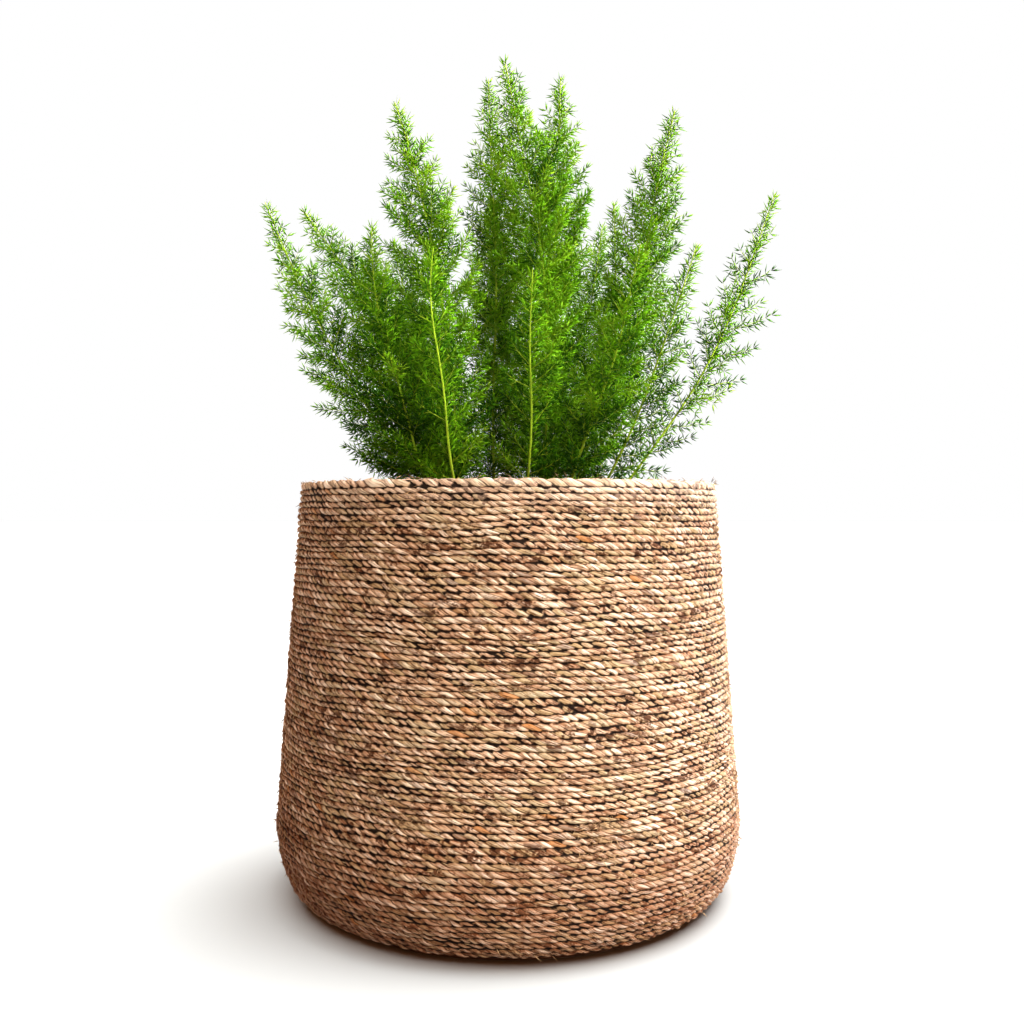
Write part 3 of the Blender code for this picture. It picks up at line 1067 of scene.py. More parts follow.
@dataclass
class PlanterShell:
    """The moulded cup inside the winding, with its base plate, as one turned piece."""

    outline: PlanterOutline
    columns: int = 144
    plate_chamfer: float = 0.001
    lip_chamfer: float = 0.0006
    sharp_from: float = math.radians(40)

    def profile(self) -> Array:
        """Radius and height of the cup's outline, from the middle of its underside round.

        Returns:
            Points as two columns, both ends on the axis.
        """
        line = self.outline
        outer = line.winding + line.gap
        inner = outer + line.shell
        edge = line.height - line.lip - line.gap
        shoulder = edge - self.lip_chamfer
        neck = line.foot_radius - line.gap
        plate = [(line.plate_radius - self.plate_chamfer, 0.0)]
        plate += [(line.plate_radius, self.plate_chamfer), (line.plate_radius, line.plate)]
        plate += [(neck, line.plate), (neck, outer)]
        low = line.corner_heights(outer, 9)[1:]
        up = np.concatenate([low, [line.belly_height, shoulder]])
        wall = np.stack([line.side_radius(up, outer, outer), up], axis=1)
        lip_out = float(line.side_radius(edge, outer)) - self.lip_chamfer
        lip_in = float(line.side_radius(edge, inner)) + self.lip_chamfer
        low = line.corner_heights(line.floor, 9)[::-1]
        down = np.concatenate([[shoulder, line.belly_height], low])
        lining = np.stack([line.side_radius(down, inner, line.floor), down], axis=1)
        return np.concatenate([plate, wall, [(lip_out, edge), (lip_in, edge)], lining])

    def build(self, finish: MouldingFinish) -> None:
        """Turn the profile, and close it with a point on the axis below and one inside.

        Args:
            finish: Look of the moulding.
        """
        profile = self.profile()
        points = turned(profile[:, :1], profile[:, 1:], full_turn(self.columns))
        surface = closed_turning(points, [0, 0, 0], [0, 0, self.outline.floor])
        piece = surface.piece("planter_shell", finish.material(), "brown_moulding")
        piece.data.set_sharp_from_angle(angle=self.sharp_from)
        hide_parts("pot_shell")


@dataclass
class PottingMix:
    """Lumpy mound of potting mix that fills the shell, with crumbs of bark on it.

    Attributes:
        crumbs: How many loose crumbs lie on the mound.
        rings: Rings of points on the mound.
        columns: Points in each ring.
        roughness: Height of the mound's lumps.
        lump_sizes: Least and greatest width of the lumps.
        edge_drop: How far the mound's edge lies under its even height.
        edge_margin: Width of the strip at the edge that has no crumbs.
    """

    outline: PlanterOutline
    crumbs: int = 1700
    rings: int = 44
    columns: int = 144
    roughness: float = 0.0011
    lump_sizes: tuple[float, float] = (0.010, 0.045)
    lump_waves: int = 40
    smallest: float = 0.0010
    largest: float = 0.0042
    edge_drop: float = 0.0015
    edge_margin: float = 0.004
    mound_tone: float = 0.3
    seed: int = 23

    def lumps(self, points: Array, chance: Chance) -> Array:
        """Uneven height of the mound: a sum of plane waves in random directions.

        Args:
            points: Places on the level plane, with a last axis of two.
            chance: Source of the directions and phases.

        Returns:
            Height at each place, about the roughness high.
        """
        count = self.lump_waves
        size = 2 * math.pi / chance.uniform(*self.lump_sizes, count)
        turn = chance.uniform(0, 2 * math.pi, count)
        wave = np.stack([np.cos(turn), np.sin(turn)]) * size
        phase = chance.uniform(0, 2 * math.pi, count)
        return self.roughness * np.sin(points @ wave + phase).sum(axis=-1) / math.sqrt(count / 2)

    def mound(self, chance: Chance) -> Surface:
        """The body of the mix: its side follows the shell, and its top is the uneven mound.

        Args:
            chance: Source of the unevenness.

        Returns:
            The closed surface.
        """
        line = self.outline
        inset = line.winding + line.shell + 2 * line.gap
        floor = line.floor + line.gap
        edge = float(line.side_radius(line.mix_top, inset))
        rim = float(line.mix_height(edge)) - self.edge_drop
        up = np.concatenate([line.corner_heights(floor, 8), [line.belly_height, rim]])
        side = np.stack([line.side_radius(up, inset, floor), up], axis=1)
        angles = full_turn(self.columns)
        reach = edge * np.linspace(1, 0, self.rings + 1)[1:-1]
        top = turned(reach[:, None], line.mix_height(reach)[:, None], angles)
        top[..., 2] += self.lumps(top[..., :2], chance)
        skin = np.concatenate([turned(side[:, :1], side[:, 1:], angles), top])
        surface = closed_turning(skin, [0, 0, floor], [0, 0, float(line.mix_height(0.0))])
        surface.values["tone"] = np.full(len(surface.points), self.mound_tone)
        return surface

    def scatter(self, chance: Chance) -> Surface:
        """Angular crumbs, each an uneven eight-sided grain half sunk in the mound.

        Args:
            chance: Source of their places, sizes and tones.

        Returns:
            All crumbs as one surface.
        """
        line, count = self.outline, self.crumbs
        edge = float(line.side_radius(line.mix_top, line.winding + line.shell)) - self.edge_margin
        radius = edge * np.sqrt(chance.uniform(0, 1, count))
        angle = chance.uniform(0, 2 * math.pi, count)
        centre = turned(radius, line.mix_height(radius), angle)
        corners = np.concatenate([np.eye(3), -np.eye(3)])[[0, 1, 3, 4, 2, 5]]
        above = [[k, (k + 1) % 4, 4] for k in range(4)]
        below = [[(k + 1) % 4, k, 5] for k in range(4)]
        size = self.smallest + (self.largest - self.smallest) * chance.uniform(0, 1, count) ** 3
        shape = corners * chance.uniform(0.55, 1.0, (count, 6, 1))
        shape = shape * size[:, None, None] * chance.uniform(0.5, 1.0, (count, 1, 3))
        spin = np.linalg.qr(chance.normal(size=(count, 3, 3)))[0]
        spin *= np.linalg.det(spin)[:, None, None]
        points = np.einsum("nij,nkj->nki", spin, shape) + centre[:, None, :]
        tone = np.repeat(chance.uniform(0, 1, count), 6)
        return Surface(points.reshape(-1, 3), repeated(above + below, count, 6), {"tone": tone})

    def build(self, finish: MixFinish) -> None:
        """Make the mound and its crumbs as one piece.

        Args:
            finish: Look of the mix.
        """
        chance = np.random.default_rng(self.seed)
        surface = joined([self.mound(chance), self.scatter(chance)])
        piece = surface.piece("potting_mix_fill", finish.material(), "potting_mix")
        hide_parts("potting_mix")


# Plant


@dataclass
class Spindles:
    """Slim closed slivers, pointed at both ends, used for needles and loose fibres.

    Attributes:
        roots: Where each starts.
        headings: Unit direction that each starts in.
        bends: Unit direction that each turns to.
        lengths: Length of each.
        width: Greatest width.
        flat: Thickness against the width.
        shares: Share of the length up to the widest place, and beyond it.
    """

    roots: Array
    headings: Array
    bends: Array
    lengths: Array
    width: float
    flat: float = 0.35
    shares: tuple[float, float] = (0.42, 0.58)

    def surface(self, own: dict[str, Array]) -> Surface:
        """Four points and four triangles each: a root, a middle of two, and a point.

        The middle stands part of the way along the heading and a little to one side, for the
        thickness. The point lies at the whole length, turned towards the bend.

        Args:
            own: For each name, one number for each sliver.

        Returns:
            All of them as one surface, which also stores the run from root to point.
        """
        count = len(self.roots)
        upright = np.abs(self.headings[:, 2:]) > 0.9
        guide = np.where(upright, [[1.0, 0, 0]], [[0, 0, 1.0]])
        side = across(self.headings, guide, np.zeros(count)) * (0.5 * self.width)
        thick = np.cross(self.headings, side) * (2 * self.flat)
        reach = self.lengths[:, None]
        middle = self.roots + self.headings * reach * self.shares[0]
        tip = middle + unit(self.headings + self.bends) * reach * self.shares[1]
        points = np.stack([self.roots, middle + thick - side, middle + thick + side, tip], axis=1)
        triangles = repeated([[0, 1, 2], [3, 2, 1], [0, 2, 3], [0, 3, 1]], count, 4)
        values = {key: np.repeat(numbers, 4) for key, numbers in own.items()}
        values["run"] = np.tile([0.0, 0.45, 0.45, 1.0], count)
        return Surface(points.reshape(-1, 3), triangles, values)


@dataclass
class Shoots:
    """Curved side twigs, each turning evenly from a first to a last direction.

    Attributes:
        roots: Where each starts.
        starts: Unit direction at its root.
        ends: Unit direction at its end.
        lengths: Length of each.
        guides: Vector that gives the side for angles about each.
        tones: Tone that the needles of each are based on.
    """

    roots: Array
    starts: Array
    ends: Array
    lengths: Array
    guides: Array
    tones: Array

    def at(self, index: Array, part: Array) -> tuple[Array, Array]:
        """Places and headings along some of the twigs.

        The heading is the blend of the two directions, and the place is its sum from the root.

        Args:
            index: Number of the twig for each wanted place.
            part: Share of the twig's length for each.

        Returns:
            Places and unit headings.
        """
        start, change = self.starts[index], (self.ends - self.starts)[index]
        part = part[:, None]
        course = start * part + change * part**2 / 2
        place = self.roots[index] + self.lengths[index][:, None] * course
        return place, unit(start + change * part)

    def cores(self, parts: tuple[float, ...], thick: float, thin: float, run: float) -> Surface:
        """Three-sided woody core of each twig, closed at its root and pointed at its end.

        Args:
            parts: Shares of the length where its rings stand, from 0.
            thick: Radius at the root.
            thin: Radius that the point would have.
            run: Age that is stored for the core.

        Returns:
            All cores as one surface.
        """
        third = 2.0944
        count, rings = len(self.roots), len(parts)
        index = np.repeat(np.arange(count), rings)
        part = np.tile(parts, count)
        centre, heading = self.at(index, part)
        radius = (thick + (thin - thick) * part)[:, None]
        guide = self.guides[index]
        corner = [
            centre + across(heading, guide, np.full(len(part), k * third)) * radius
            for k in range(3)
        ]
        corner = np.stack(corner, axis=1).reshape(count, rings * 3, 3)
        tip = self.at(np.arange(count), np.ones(count))[0]
        points = np.concatenate([corner, tip[:, None]], axis=1)
        faces = [[0, 2, 1], *ring_grid(rings, 3, closed=False).tolist()]
        top = (rings - 1) * 3
        faces += [[top + k, top + (k + 1) % 3, rings * 3] for k in range(3)]
        size = rings * 3 + 1
        values = {"run": np.full(count * size, run), "kind": np.zeros(count * size)}
        values["tone"] = np.repeat(self.tones, size)
        return Surface(points.reshape(-1, 3), repeated(faces, count, size), values)


@dataclass(frozen=True)
class StemPlan:
    """Where a stem leaves the mix, the point it bends towards, and its tip.

    A side tip, where there is one, is the end of a fork that leaves the stem half way up. The
    reach is the length of the side twigs against the usual one, and the low reach what the
    lowest ones have against the others. Up to the height given as bare, no twigs grow towards
    the front, so that the stem shows.
    """

    foot: tuple[float, float]
    bend: tuple[float, float, float]
    tip: tuple[float, float, float]
    side_tip: tuple[float, float, float] | None = None
    reach: float = 1.0
    low_reach: float = 0.8
    bare: float = 0.0


STEM_PLANS = (
    # Left side, from the outermost plume inwards
    StemPlan((-0.045, -0.010), (-0.137, -0.015, 0.405), (-0.208, -0.020, 0.583), None, 0.76, 1.5),
    StemPlan((-0.035, 0.035), (-0.097, 0.050, 0.475), (-0.192, 0.060, 0.601)),
    StemPlan((-0.054, -0.030), (-0.108, -0.045, 0.420), (-0.113, -0.050, 0.557), low_reach=1.0),
    StemPlan((-0.040, -0.038), (-0.048, -0.045, 0.530), (-0.096, -0.030, 0.665)),
    # Tall middle plumes
    StemPlan((-0.012, 0.018), (-0.012, 0.030, 0.500), (-0.018, 0.020, 0.705), reach=0.78),
    StemPlan((0.032, -0.025), (0.038, -0.035, 0.535), (-0.003, -0.010, 0.708)),
    StemPlan((0.026, 0.025), (0.042, 0.030, 0.500), (0.047, 0.030, 0.711), (0.070, 0.040, 0.590)),
    # Right side, from the middle outwards
    StemPlan((0.040, 0.050), (0.108, 0.065, 0.450), (0.099, 0.070, 0.610), reach=0.5),
    StemPlan((0.050, 0.003), (0.111, 0.010, 0.500), (0.147, 0.010, 0.673), reach=0.92),
    StemPlan((0.066, -0.016), (0.117, -0.058, 0.410), (0.154, -0.060, 0.537), reach=0.78),
    StemPlan((0.075, 0.012), (0.172, 0.015, 0.405), (0.238, 0.020, 0.603), None, 0.88, 0.7),
    # Lower plumes that lean to the front
    StemPlan((-0.034, -0.058), (-0.064, -0.105, 0.420), (-0.056, -0.132, 0.515), bare=0.48),
    StemPlan((0.014, -0.060), (0.018, -0.110, 0.410), (0.018, -0.150, 0.495), bare=0.45),
    StemPlan((0.040, -0.056), (0.080, -0.100, 0.420), (0.100, -0.125, 0.520)),
    # Plumes that lean to the back
    StemPlan((-0.030, 0.058), (-0.085, 0.105, 0.450), (-0.115, 0.130, 0.590)),
    StemPlan((0.002, 0.056), (-0.010, 0.115, 0.480), (-0.020, 0.150, 0.640)),
    StemPlan((0.026, 0.072), (0.075, 0.110, 0.470), (0.095, 0.145, 0.610)),
)


class Fullness(Enum):
    """How closely a plume's twigs and needles stand, as a factor on their spacing."""

    SPARSE = 1.5
    LIGHT = 1.2
    USUAL = 1.0
    DENSE = 0.93


FULLNESS = {
    2: Fullness.DENSE,
    7: Fullness.LIGHT,
    9: Fullness.LIGHT,
    10: Fullness.SPARSE,
    14: Fullness.DENSE,
}


@dataclass
class LeafyStem:
    """One plume: a stem, its spiral of side twigs with smaller ones on them, and the needles.

    Attributes:
        number: Number of the stem, from 0.
        plan: Its foot, bend and tip.
        sunk: Length of the stem that stands in the mix.
        twig_lowest: Share of the stem below its lowest twig.
        crowding: Power that sets the twigs closer up the stem where it is below 1.
        grown_over: Length of stem over which the twigs reach their full size.
        levels: Tone of the lowest twigs, its rise over the plume height, and its limit; low twigs
            are darker partly as older growth and partly as painted shade.
        front: Lowest share that a twig grows towards the back where the stem is bare in front.
        whorl_turn: Angle from one whorl of needles to the next.
        end_share: Share of a twig near its end where the needles grow shorter and lie closer.
        end_closing: Share of their spread that they lose there.
        end_shortening: Share of their length that they lose there.
    """

    number: int
    plan: StemPlan
    outline: PlanterOutline
    fullness: Fullness = Fullness.USUAL
    steps: int = 24
    sides: int = 6
    sway: float = 0.004
    sunk: float = 0.0247
    foot_radius: float = 0.0013
    fork_radius: float = 0.0009
    tip_radius: float = 0.0004
    twig_gap: float = 0.0037
    twig_longest: float = 0.050
    twig_shortest: float = 0.004
    twig_taper: float = 0.36
    twig_lowest: float = 0.08
    twig_margin: float = 0.008
    crowding: float = 0.99
    grown_over: float = 0.14
    twig_lean: float = math.radians(52)
    lean_spread: float = math.radians(7)
    curl: float = math.radians(14)
    twig_lengths: tuple[float, float] = (0.72, 1.08)
    levels: tuple[float, float, float] = (0.15, 0.57, 0.565)
    plume_height: float = 0.4
    front: float = -0.35
    offshoot_gap: float = 0.0062
    offshoot_first: float = 0.006
    offshoot_lean: float = math.radians(46)
    offshoot_shortest: float = 0.004
    offshoot_taper: float = 0.34
    offshoot_lengths: tuple[float, float] = (0.7, 1.15)
    whorl_gap: float = 0.0038
    whorl_turn: float = 2.4
    needles_each: int = 5
    needle_length: float = 0.0098
    needle_lengths: tuple[float, float] = (0.68, 1.12)
    needle_width: float = 0.00100
    needle_spread: float = math.radians(60)
    needle_bend: float = 0.35
    end_share: float = 0.25
    end_closing: float = 0.42
    end_shortening: float = 0.18
    tip_whorl_gap: float = 0.0032
    tip_whorls: float = 0.16
    twig_radii: tuple[float, float] = (0.00045, 0.0002)
    offshoot_radii: tuple[float, float] = (0.00032, 0.0002)
    twig_age: float = 0.8

    def main_path(self) -> Array:
        """Centre points of the stem, from the buried end to the tip."""
        foot = np.array([*self.plan.foot, self.outline.mix_height(math.hypot(*self.plan.foot))])
        return self.curve(foot, np.array(self.plan.bend), np.array(self.plan.tip), self.sunk)

    def curve(self, foot: Array, bend: Array, tip: Array, sunk: float) -> Array:
        """Quadratic from foot to tip with a sway, led by a straight piece before the foot.

        Args:
            foot: Where the curve starts.
            bend: Point that it is pulled towards.
            tip: Where it ends.
            sunk: Length of the straight piece.

        Returns:
            Points, one row each.
        """
        part = np.linspace(0, 1, self.steps + 1)[:, None]
        points = foot * (1 - part) ** 2 + bend * (2 * part * (1 - part)) + tip * part**2
        turn = np.array([math.cos(self.number), math.sin(self.number), 0])
        sideways = unit(np.cross(tip - foot, turn)) * self.sway
        points += sideways * np.sin(math.pi * part) * np.sin(2 * math.pi * part + self.number)
        heading = unit(points[1] - points[0])
        return np.concatenate([[foot - heading * sunk], points])

    def fork_path(self, path: Array) -> Array:
        """Path of the fork to the side tip: it leaves the stem half way and swings upright.

        Args:
            path: The stem's own path.

        Returns:
            Points, one row each.
        """
        start = path[self.steps // 2]
        tip = np.array(self.plan.side_tip)
        heading = unit(path[self.steps // 2 + 1] - start)
        bend = start + heading * 0.35 * np.linalg.norm(tip - start) + (tip - start) * 0.25
        return self.curve(start, bend, tip, 0.001)

    def twigs(self, path: Array, lowest: float, chance: Chance) -> Shoots:
        """Side twigs in a spiral up the stem, shorter towards its tip.

        A twig's length is a share of the distance left to the tip, up to a limit, and each
        stands a golden angle on from the one below it.

        Args:
            path: Points of the stem.
            lowest: Distance along it of the lowest twig.
            chance: Source of the small differences.

        Returns:
            The twigs.
        """
        total = path_length(path)
        gap = self.twig_gap * self.fullness.value
        span = total - self.twig_margin - lowest
        place = lowest + span * np.arange(0, 1, gap / span) ** self.crowding
        count = len(place)
        place = place + chance.uniform(-0.3, 0.3, count) * gap
        first = random.Random(self.number).uniform(0, 2 * math.pi)
        azimuth = first + GOLDEN_ANGLE * np.arange(count) + chance.normal(0, 0.25, count)
        root, heading = along_path(path, place)
        lean = self.twig_lean + chance.uniform(-1, 1, count) * self.lean_spread
        reach = self.twig_shortest + self.twig_taper * (total - place)
        length = np.minimum(self.twig_longest, reach) * chance.uniform(*self.twig_lengths, count)
        grown = np.clip((place - lowest) / self.grown_over, 0, 1)
        length = length * self.plan.reach * (self.plan.low_reach * (1 - grown) + grown)
        outwards = across(heading, path_guide(path, count), azimuth)
        start = leaning(heading, outwards, lean + self.curl * 0.6)
        end = leaning(heading, outwards, lean - self.curl)
        # Twigs low in the plume get a darker tone: partly older growth, partly painted shade where
        # the plume shades itself.
        level = (root[:, 2] - self.outline.mix_top) / self.plume_height
        base, rise, limit = self.levels
        tone = np.minimum(base + rise * level, limit) + chance.normal(0, 0.20, count)
        kept = (outwards[:, 1] > self.front) | (root[:, 2] > self.plan.bare)
        return Shoots(*(array[kept] for array in (root, start, end, length, heading, tone)))

    def offshoots(self, twigs: Shoots, chance: Chance) -> Shoots:
        """Smaller twigs that leave the side twigs to either side, shorter outwards.

        Args:
            twigs: The side twigs.
            chance: Source of the small differences.

        Returns:
            The smaller twigs.
        """
        gap = self.offshoot_gap * self.fullness.value
        index, order = numbered(np.floor((twigs.lengths - 0.010) / gap).clip(0).astype(int))
        count = len(index)
        part = (self.offshoot_first + gap * (order + 0.4)) / twigs.lengths[index]
        root, heading = twigs.at(index, part)
        side = math.pi / 2 + math.pi * order + chance.normal(0, 0.55, count)
        outwards = across(heading, twigs.guides[index], side)
        reach = self.offshoot_taper * (1 - part) * twigs.lengths[index]
        length = (self.offshoot_shortest + reach) * chance.uniform(*self.offshoot_lengths, count)
        lean = self.offshoot_lean + chance.normal(0, 0.12, count)
        start = leaning(heading, outwards, lean + 0.15)
        end = leaning(heading, outwards, lean - 0.2)
        return Shoots(root, start, end, length, twigs.guides[index], twigs.tones[index] + 0.05)

    def whorls(self, shoots: Shoots, bare: float, chance: Chance) -> Surface:
        """Needles in whorls along twigs.

        Args:
            shoots: The twigs that they grow on.
            bare: Length of twig without needles at its root.
            chance: Source of the small differences.

        Returns:
            The needles.
        """
        gap = self.whorl_gap * self.fullness.value
        counts = np.maximum(1, np.round((shoots.lengths - bare) / gap)).astype(int)
        index, order = numbered(counts)
        step = (shoots.lengths - bare) / (counts - 0.5)
        part = (bare + step[index] * order) / shoots.lengths[index]
        centre, heading = shoots.at(index, part)
        # Painted shade: needles near a twig's root, deep in the plume, are darker, and those near
        # its end are paler.
        tone = shoots.tones[index] + 0.28 * (part - 0.55)
        return self.needles((centre, heading, shoots.guides[index], part, order, tone), chance)

    def needles(self, stars: tuple[Array, ...], chance: Chance) -> Surface:
        """Star of needles at each whorl, turned by the same angle from whorl to whorl.

        Needles near a twig's end are shorter and lie closer to it.

        Args:
            stars: For the whorls: the middle, the twig's heading there, the side for an angle
                of 0, the share of the twig's length, the number on its twig, and the tone.
            chance: Source of the small differences.

        Returns:
            The needles as one surface.
        """
        each = self.needles_each
        count = len(stars[0]) * each
        spoke = np.tile(np.arange(each), len(stars[0]))
        centre, heading, guide, part, order, tone = (np.repeat(a, each, axis=0) for a in stars)
        turn = order * self.whorl_turn + spoke * (2 * math.pi / each)
        turn = turn + chance.normal(0, 0.28, count)
        end = np.clip((part - 1 + self.end_share) / self.end_share, 0, 1)
        spread = self.needle_spread * (1 - self.end_closing * end) + chance.normal(0, 0.16, count)
        outwards = across(heading, guide, turn)
        direction = leaning(heading, outwards, spread)
        bend = leaning(heading, outwards, spread - self.needle_bend)
        length = self.needle_length * (1 - self.end_shortening * end)
        length = length * chance.uniform(*self.needle_lengths, count)
        spindles = Spindles(centre, direction, bend, length, self.needle_width)
        own = {"tone": tone + chance.normal(0, 0.16, count), "kind": np.ones(count)}
        return spindles.surface(own)

    def core(self, path: Array, thick: float, young: float) -> Surface:
        """Six-sided stem along a path, closed at both ends.

        Args:
            path: Centre points.
            thick: Radius at the first point.
            young: Age stored at the first point, from 0 for old wood to 1.

        Returns:
            The stem's surface.
        """
        count = len(path)
        heading = unit(np.gradient(path, axis=0))
        guide = path_guide(path, count)
        part = np.linspace(0, 1, count)
        radius = (thick + (self.tip_radius - thick) * part)[:, None]
        lines = [across(heading, guide, np.full(count, a)) for a in full_turn(self.sides)]
        rings = np.stack([path + line * radius for line in lines], axis=1)
        surface = closed_turning(rings, path[0], path[-1] + heading[-1] * 0.002)
        age = np.repeat(young + (1 - young) * part, self.sides)
        run = np.concatenate([age, [young, 1.0]])
        surface.values = {"tone": np.full(len(run), 0.3), "run": run, "kind": np.zeros(len(run))}
        return surface

    def plume(
        self, path: Array, lowest: float, thick: float, young: float, chance: Chance
    ) -> list[Surface]:
        """Everything that grows on one path.

        Args:
            path: Centre points of the stem.
            lowest: Distance along it of the lowest twig.
            thick: Radius at its first point.
            young: Age stored at its first point.
            chance: Source of the small differences.

        Returns:
            Stem, twigs and needles.
        """
        total = path_length(path)
        twigs = self.twigs(path, lowest, chance)
        offshoots = self.offshoots(twigs, chance)
        spots = np.arange(max(lowest, total - self.tip_whorls), total, self.tip_whorl_gap)
        count = len(spots)
        part = np.clip(1 - (total - spots) / 0.030, 0, 1)
        stars = (part, np.arange(count), 0.45 + 0.20 * part)
        return [
            self.core(path, thick, young),
            twigs.cores((0.0, 0.5), *self.twig_radii, self.twig_age),
            offshoots.cores((0.0,), *self.offshoot_radii, self.twig_age),
            self.whorls(twigs, 0.003, chance),
            self.whorls(offshoots, 0.0015, chance),
            self.needles((*along_path(path, spots), path_guide(path, count), *stars), chance),
        ]

    def build(self, material: Material) -> int:
        """Make the whole plume as one piece that stands for its solid.

        Args:
            material: The foliage's finish.

        Returns:
            How many triangles it has.
        """
        chance = np.random.default_rng(100 + self.number)
        path = self.main_path()
        lowest = self.sunk + self.twig_lowest * path_length(path)
        parts = self.plume(path, lowest, self.foot_radius, 0.0, chance)
        if self.plan.side_tip:
            parts += self.plume(self.fork_path(path), 0.02, self.fork_radius, 0.6, chance)
        surface = joined(parts)
        piece = surface.piece(f"plume_{self.number + 1:02d}", material, "fern_green")
        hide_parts(f"stem_{self.number + 1:02d}")
        return len(surface.triangles)


# Studio


@dataclass(frozen=True)
class SoftLight:
    """A distant light that spans a wide angle.

    Attributes:
        turn: Direction round Z in degrees, from the camera's side to the right.
        rise: Height above the horizon in degrees.
        softness: Angle that it spans in degrees, which softens its shadows.
    """

    name: str
    colour: Colour
    strength: float
    turn: float
    rise: float
    softness: float

    def build(self, lit: bpy.types.Collection) -> None:
        """Add the light, turned so that it shines on the planter.

        Args:
            lit: Group that says what the light shines on.
        """
        light = bpy.data.lights.new(self.name, "SUN")
        light.color = self.colour
        light.energy = self.strength
        light.angle = math.radians(self.softness)
        item = bpy.data.objects.new(self.name, light)
        turn, rise = math.radians(self.turn), math.radians(self.rise)
        level = math.cos(rise)
        towards = Vector((math.sin(turn) * level, -math.cos(turn) * level, math.sin(rise)))
        item.rotation_euler = towards.to_track_quat("Z", "Y").to_euler()
        item.light_linking.receiver_collection = lit
        bpy.context.scene.collection.objects.link(item)


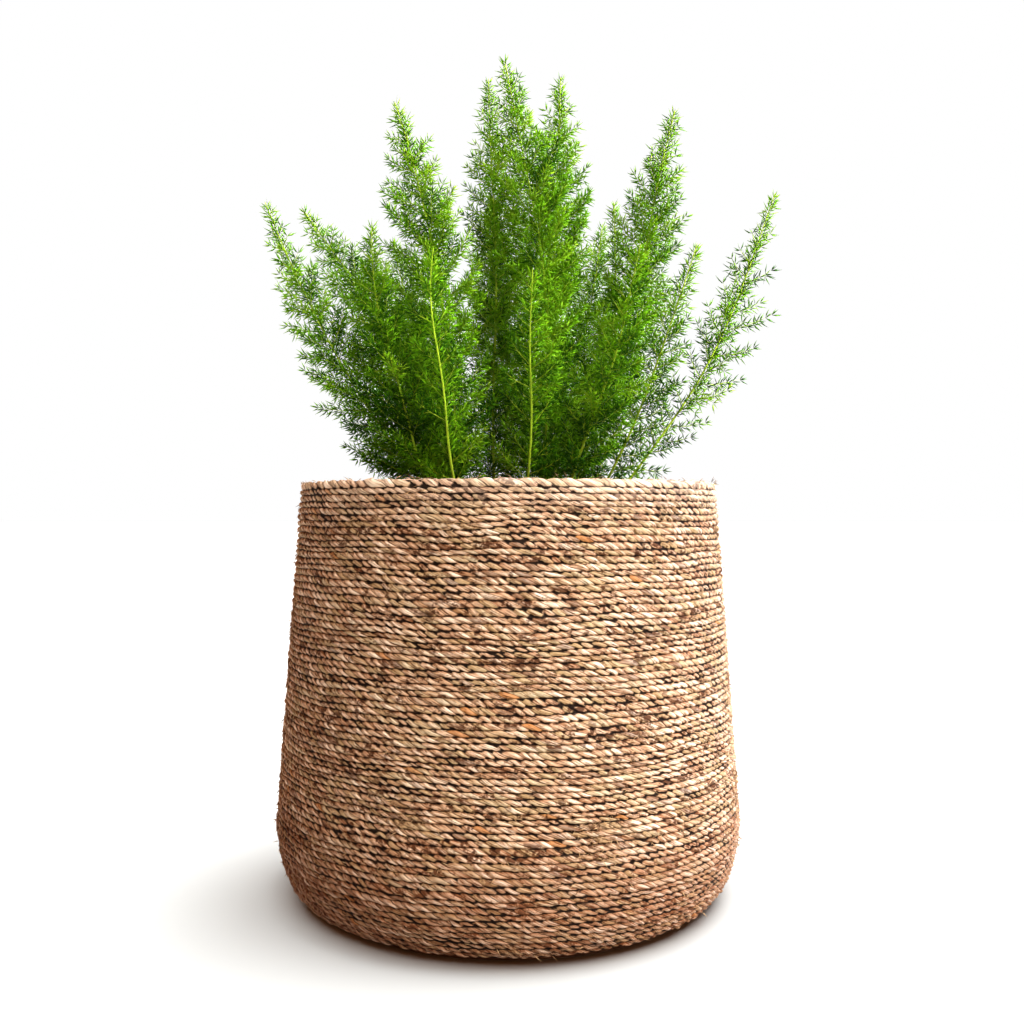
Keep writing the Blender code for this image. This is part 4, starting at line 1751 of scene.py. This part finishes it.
@dataclass
class Studio:
    """Pale floor, white surroundings, lights for the planter and for the floor, and the camera.

    Attributes:
        eye: Place of the camera, which looks level along +Y.
        lens: Focal length in millimetres.
        sensor: Width of the camera's sensor in millimetres.
        contrast: Gamma of the picture; below 1 it deepens the dark tones.
        ambient: Light of the surroundings, which themselves show as white.
        planter_lights: Lights that shine on everything but the floor.
        floor_lights: Lights that shine on the floor alone.
        leaf_lights: Lights that shine on the foliage alone.
        floor_reach: Half the width of the floor.
    """

    eye: tuple[float, float, float] = (0.003, -0.910, 0.319)
    lens: float = 36.56
    sensor: float = 36.0
    contrast: float = 0.83
    ambient: Colour = (0.50, 0.19, 0.07)
    planter_lights: tuple[SoftLight, ...] = (
        SoftLight("key_light", (0.88, 1.0, 1.26), 5.3, 97.0, 40.0, 65.0),
        SoftLight("front_light", (0.94, 0.98, 0.96), 5.7, 44.0, 40.0, 45.0),
    )
    floor_lights: tuple[SoftLight, ...] = (
        SoftLight("floor_key", (1.0, 1.0, 1.0), 4.0, 112.0, 60.0, 55.0),
        SoftLight("floor_overhead", (0.86, 1.0, 1.04), 4.1, 0.0, 90.0, 80.0),
    )
    leaf_lights: tuple[SoftLight, ...] = (
        SoftLight("leaf_back", (1.0, 1.0, 0.5), 1.6, 245.0, 30.0, 60.0),
        SoftLight("leaf_fill", (0.9, 1.0, 0.5), 1.5, 335.0, 15.0, 140.0),
    )
    floor_reach: float = 30.0

    def build(self, finish: FloorFinish) -> None:
        """Set everything up.

        Args:
            finish: Look of the floor.
        """
        floor = self.make_floor(finish)
        self.make_world()
        plumes = [item for item in bpy.data.objects if item.name.startswith("plume_")]
        lit = {
            self.group("all_but_floor", [floor], "EXCLUDE"): self.planter_lights,
            self.group("floor_alone", [floor], "INCLUDE"): self.floor_lights,
            self.group("foliage_alone", plumes, "INCLUDE"): self.leaf_lights,
        }
        for group, lights in lit.items():
            for light in lights:
                light.build(group)
        self.make_camera()
        bpy.context.scene.view_settings.view_transform = "Standard"
        bpy.context.scene.view_settings.gamma = self.contrast

    def group(self, name: str, items: list[bpy.types.Object], state: str) -> bpy.types.Collection:
        """Group for a light that shines on some objects alone, or on all but them.

        Args:
            name: The group's name.
            items: The objects.
            state: INCLUDE for these objects alone, EXCLUDE for all but them.

        Returns:
            The group.
        """
        lit = bpy.data.collections.new(name)
        for item in items:
            lit.objects.link(item)
        for entry in lit.collection_objects:
            entry.light_linking.link_state = state
        return lit

    def make_floor(self, finish: FloorFinish) -> bpy.types.Object:
        """One large level square under the planter.

        Args:
            finish: Look of the floor.

        Returns:
            The floor.
        """
        reach = self.floor_reach
        corners = [(-reach, -reach, 0), (reach, -reach, 0), (reach, reach, 0), (-reach, reach, 0)]
        mesh = bpy.data.meshes.new("studio_floor")
        mesh.from_pydata(corners, [], [(0, 1, 2, 3)])
        mesh.materials.append(finish.material())
        floor = bpy.data.objects.new("studio_floor", mesh)
        bpy.context.scene.collection.objects.link(floor)
        return floor

    def make_world(self) -> None:
        """Warm dim light from all round, in front of a backdrop that shows as plain white."""
        world = bpy.data.worlds.new("studio")
        world.use_nodes = True
        nodes, links = world.node_tree.nodes, world.node_tree.links
        glow = nodes["Background"]
        glow.inputs["Color"].default_value = (*self.ambient, 1.0)
        backdrop = nodes.new("ShaderNodeBackground")
        backdrop.inputs["Color"].default_value = (1.0, 1.0, 1.0, 1.0)
        blend = nodes.new("ShaderNodeMixShader")
        links.new(nodes.new("ShaderNodeLightPath").outputs["Is Camera Ray"], blend.inputs[0])
        links.new(glow.outputs[0], blend.inputs[1])
        links.new(backdrop.outputs[0], blend.inputs[2])
        links.new(blend.outputs[0], nodes["World Output"].inputs[0])
        bpy.context.scene.world = world

    def make_camera(self) -> None:
        """Camera at the usual view, level and looking along +Y."""
        camera = bpy.data.cameras.new("camera")
        camera.lens = self.lens
        camera.sensor_width = self.sensor
        item = bpy.data.objects.new("camera", camera)
        item.location = self.eye
        item.rotation_euler = (math.radians(90), 0.0, 0.0)
        bpy.context.scene.collection.objects.link(item)
        bpy.context.scene.camera = item


def main() -> None:
    """Load the frame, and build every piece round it."""
    logging.basicConfig(level=logging.INFO, format="%(name)s %(message)s")
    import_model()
    outline = PlanterOutline()
    CordWinding(outline).build(SeagrassFinish())
    LooseFibres(outline).build(FibreFinish())
    PlanterShell(outline).build(MouldingFinish())
    PottingMix(outline).build(MixFinish())
    leaf = FoliageFinish().material()
    faces = 0
    for number, plan in enumerate(STEM_PLANS):
        faces += LeafyStem(number, plan, outline, FULLNESS.get(number, Fullness.USUAL)).build(leaf)
    LOG.info("foliage: %d triangles", faces)
    Studio().build(FloorFinish())


if __name__ == "__main__":
    main()
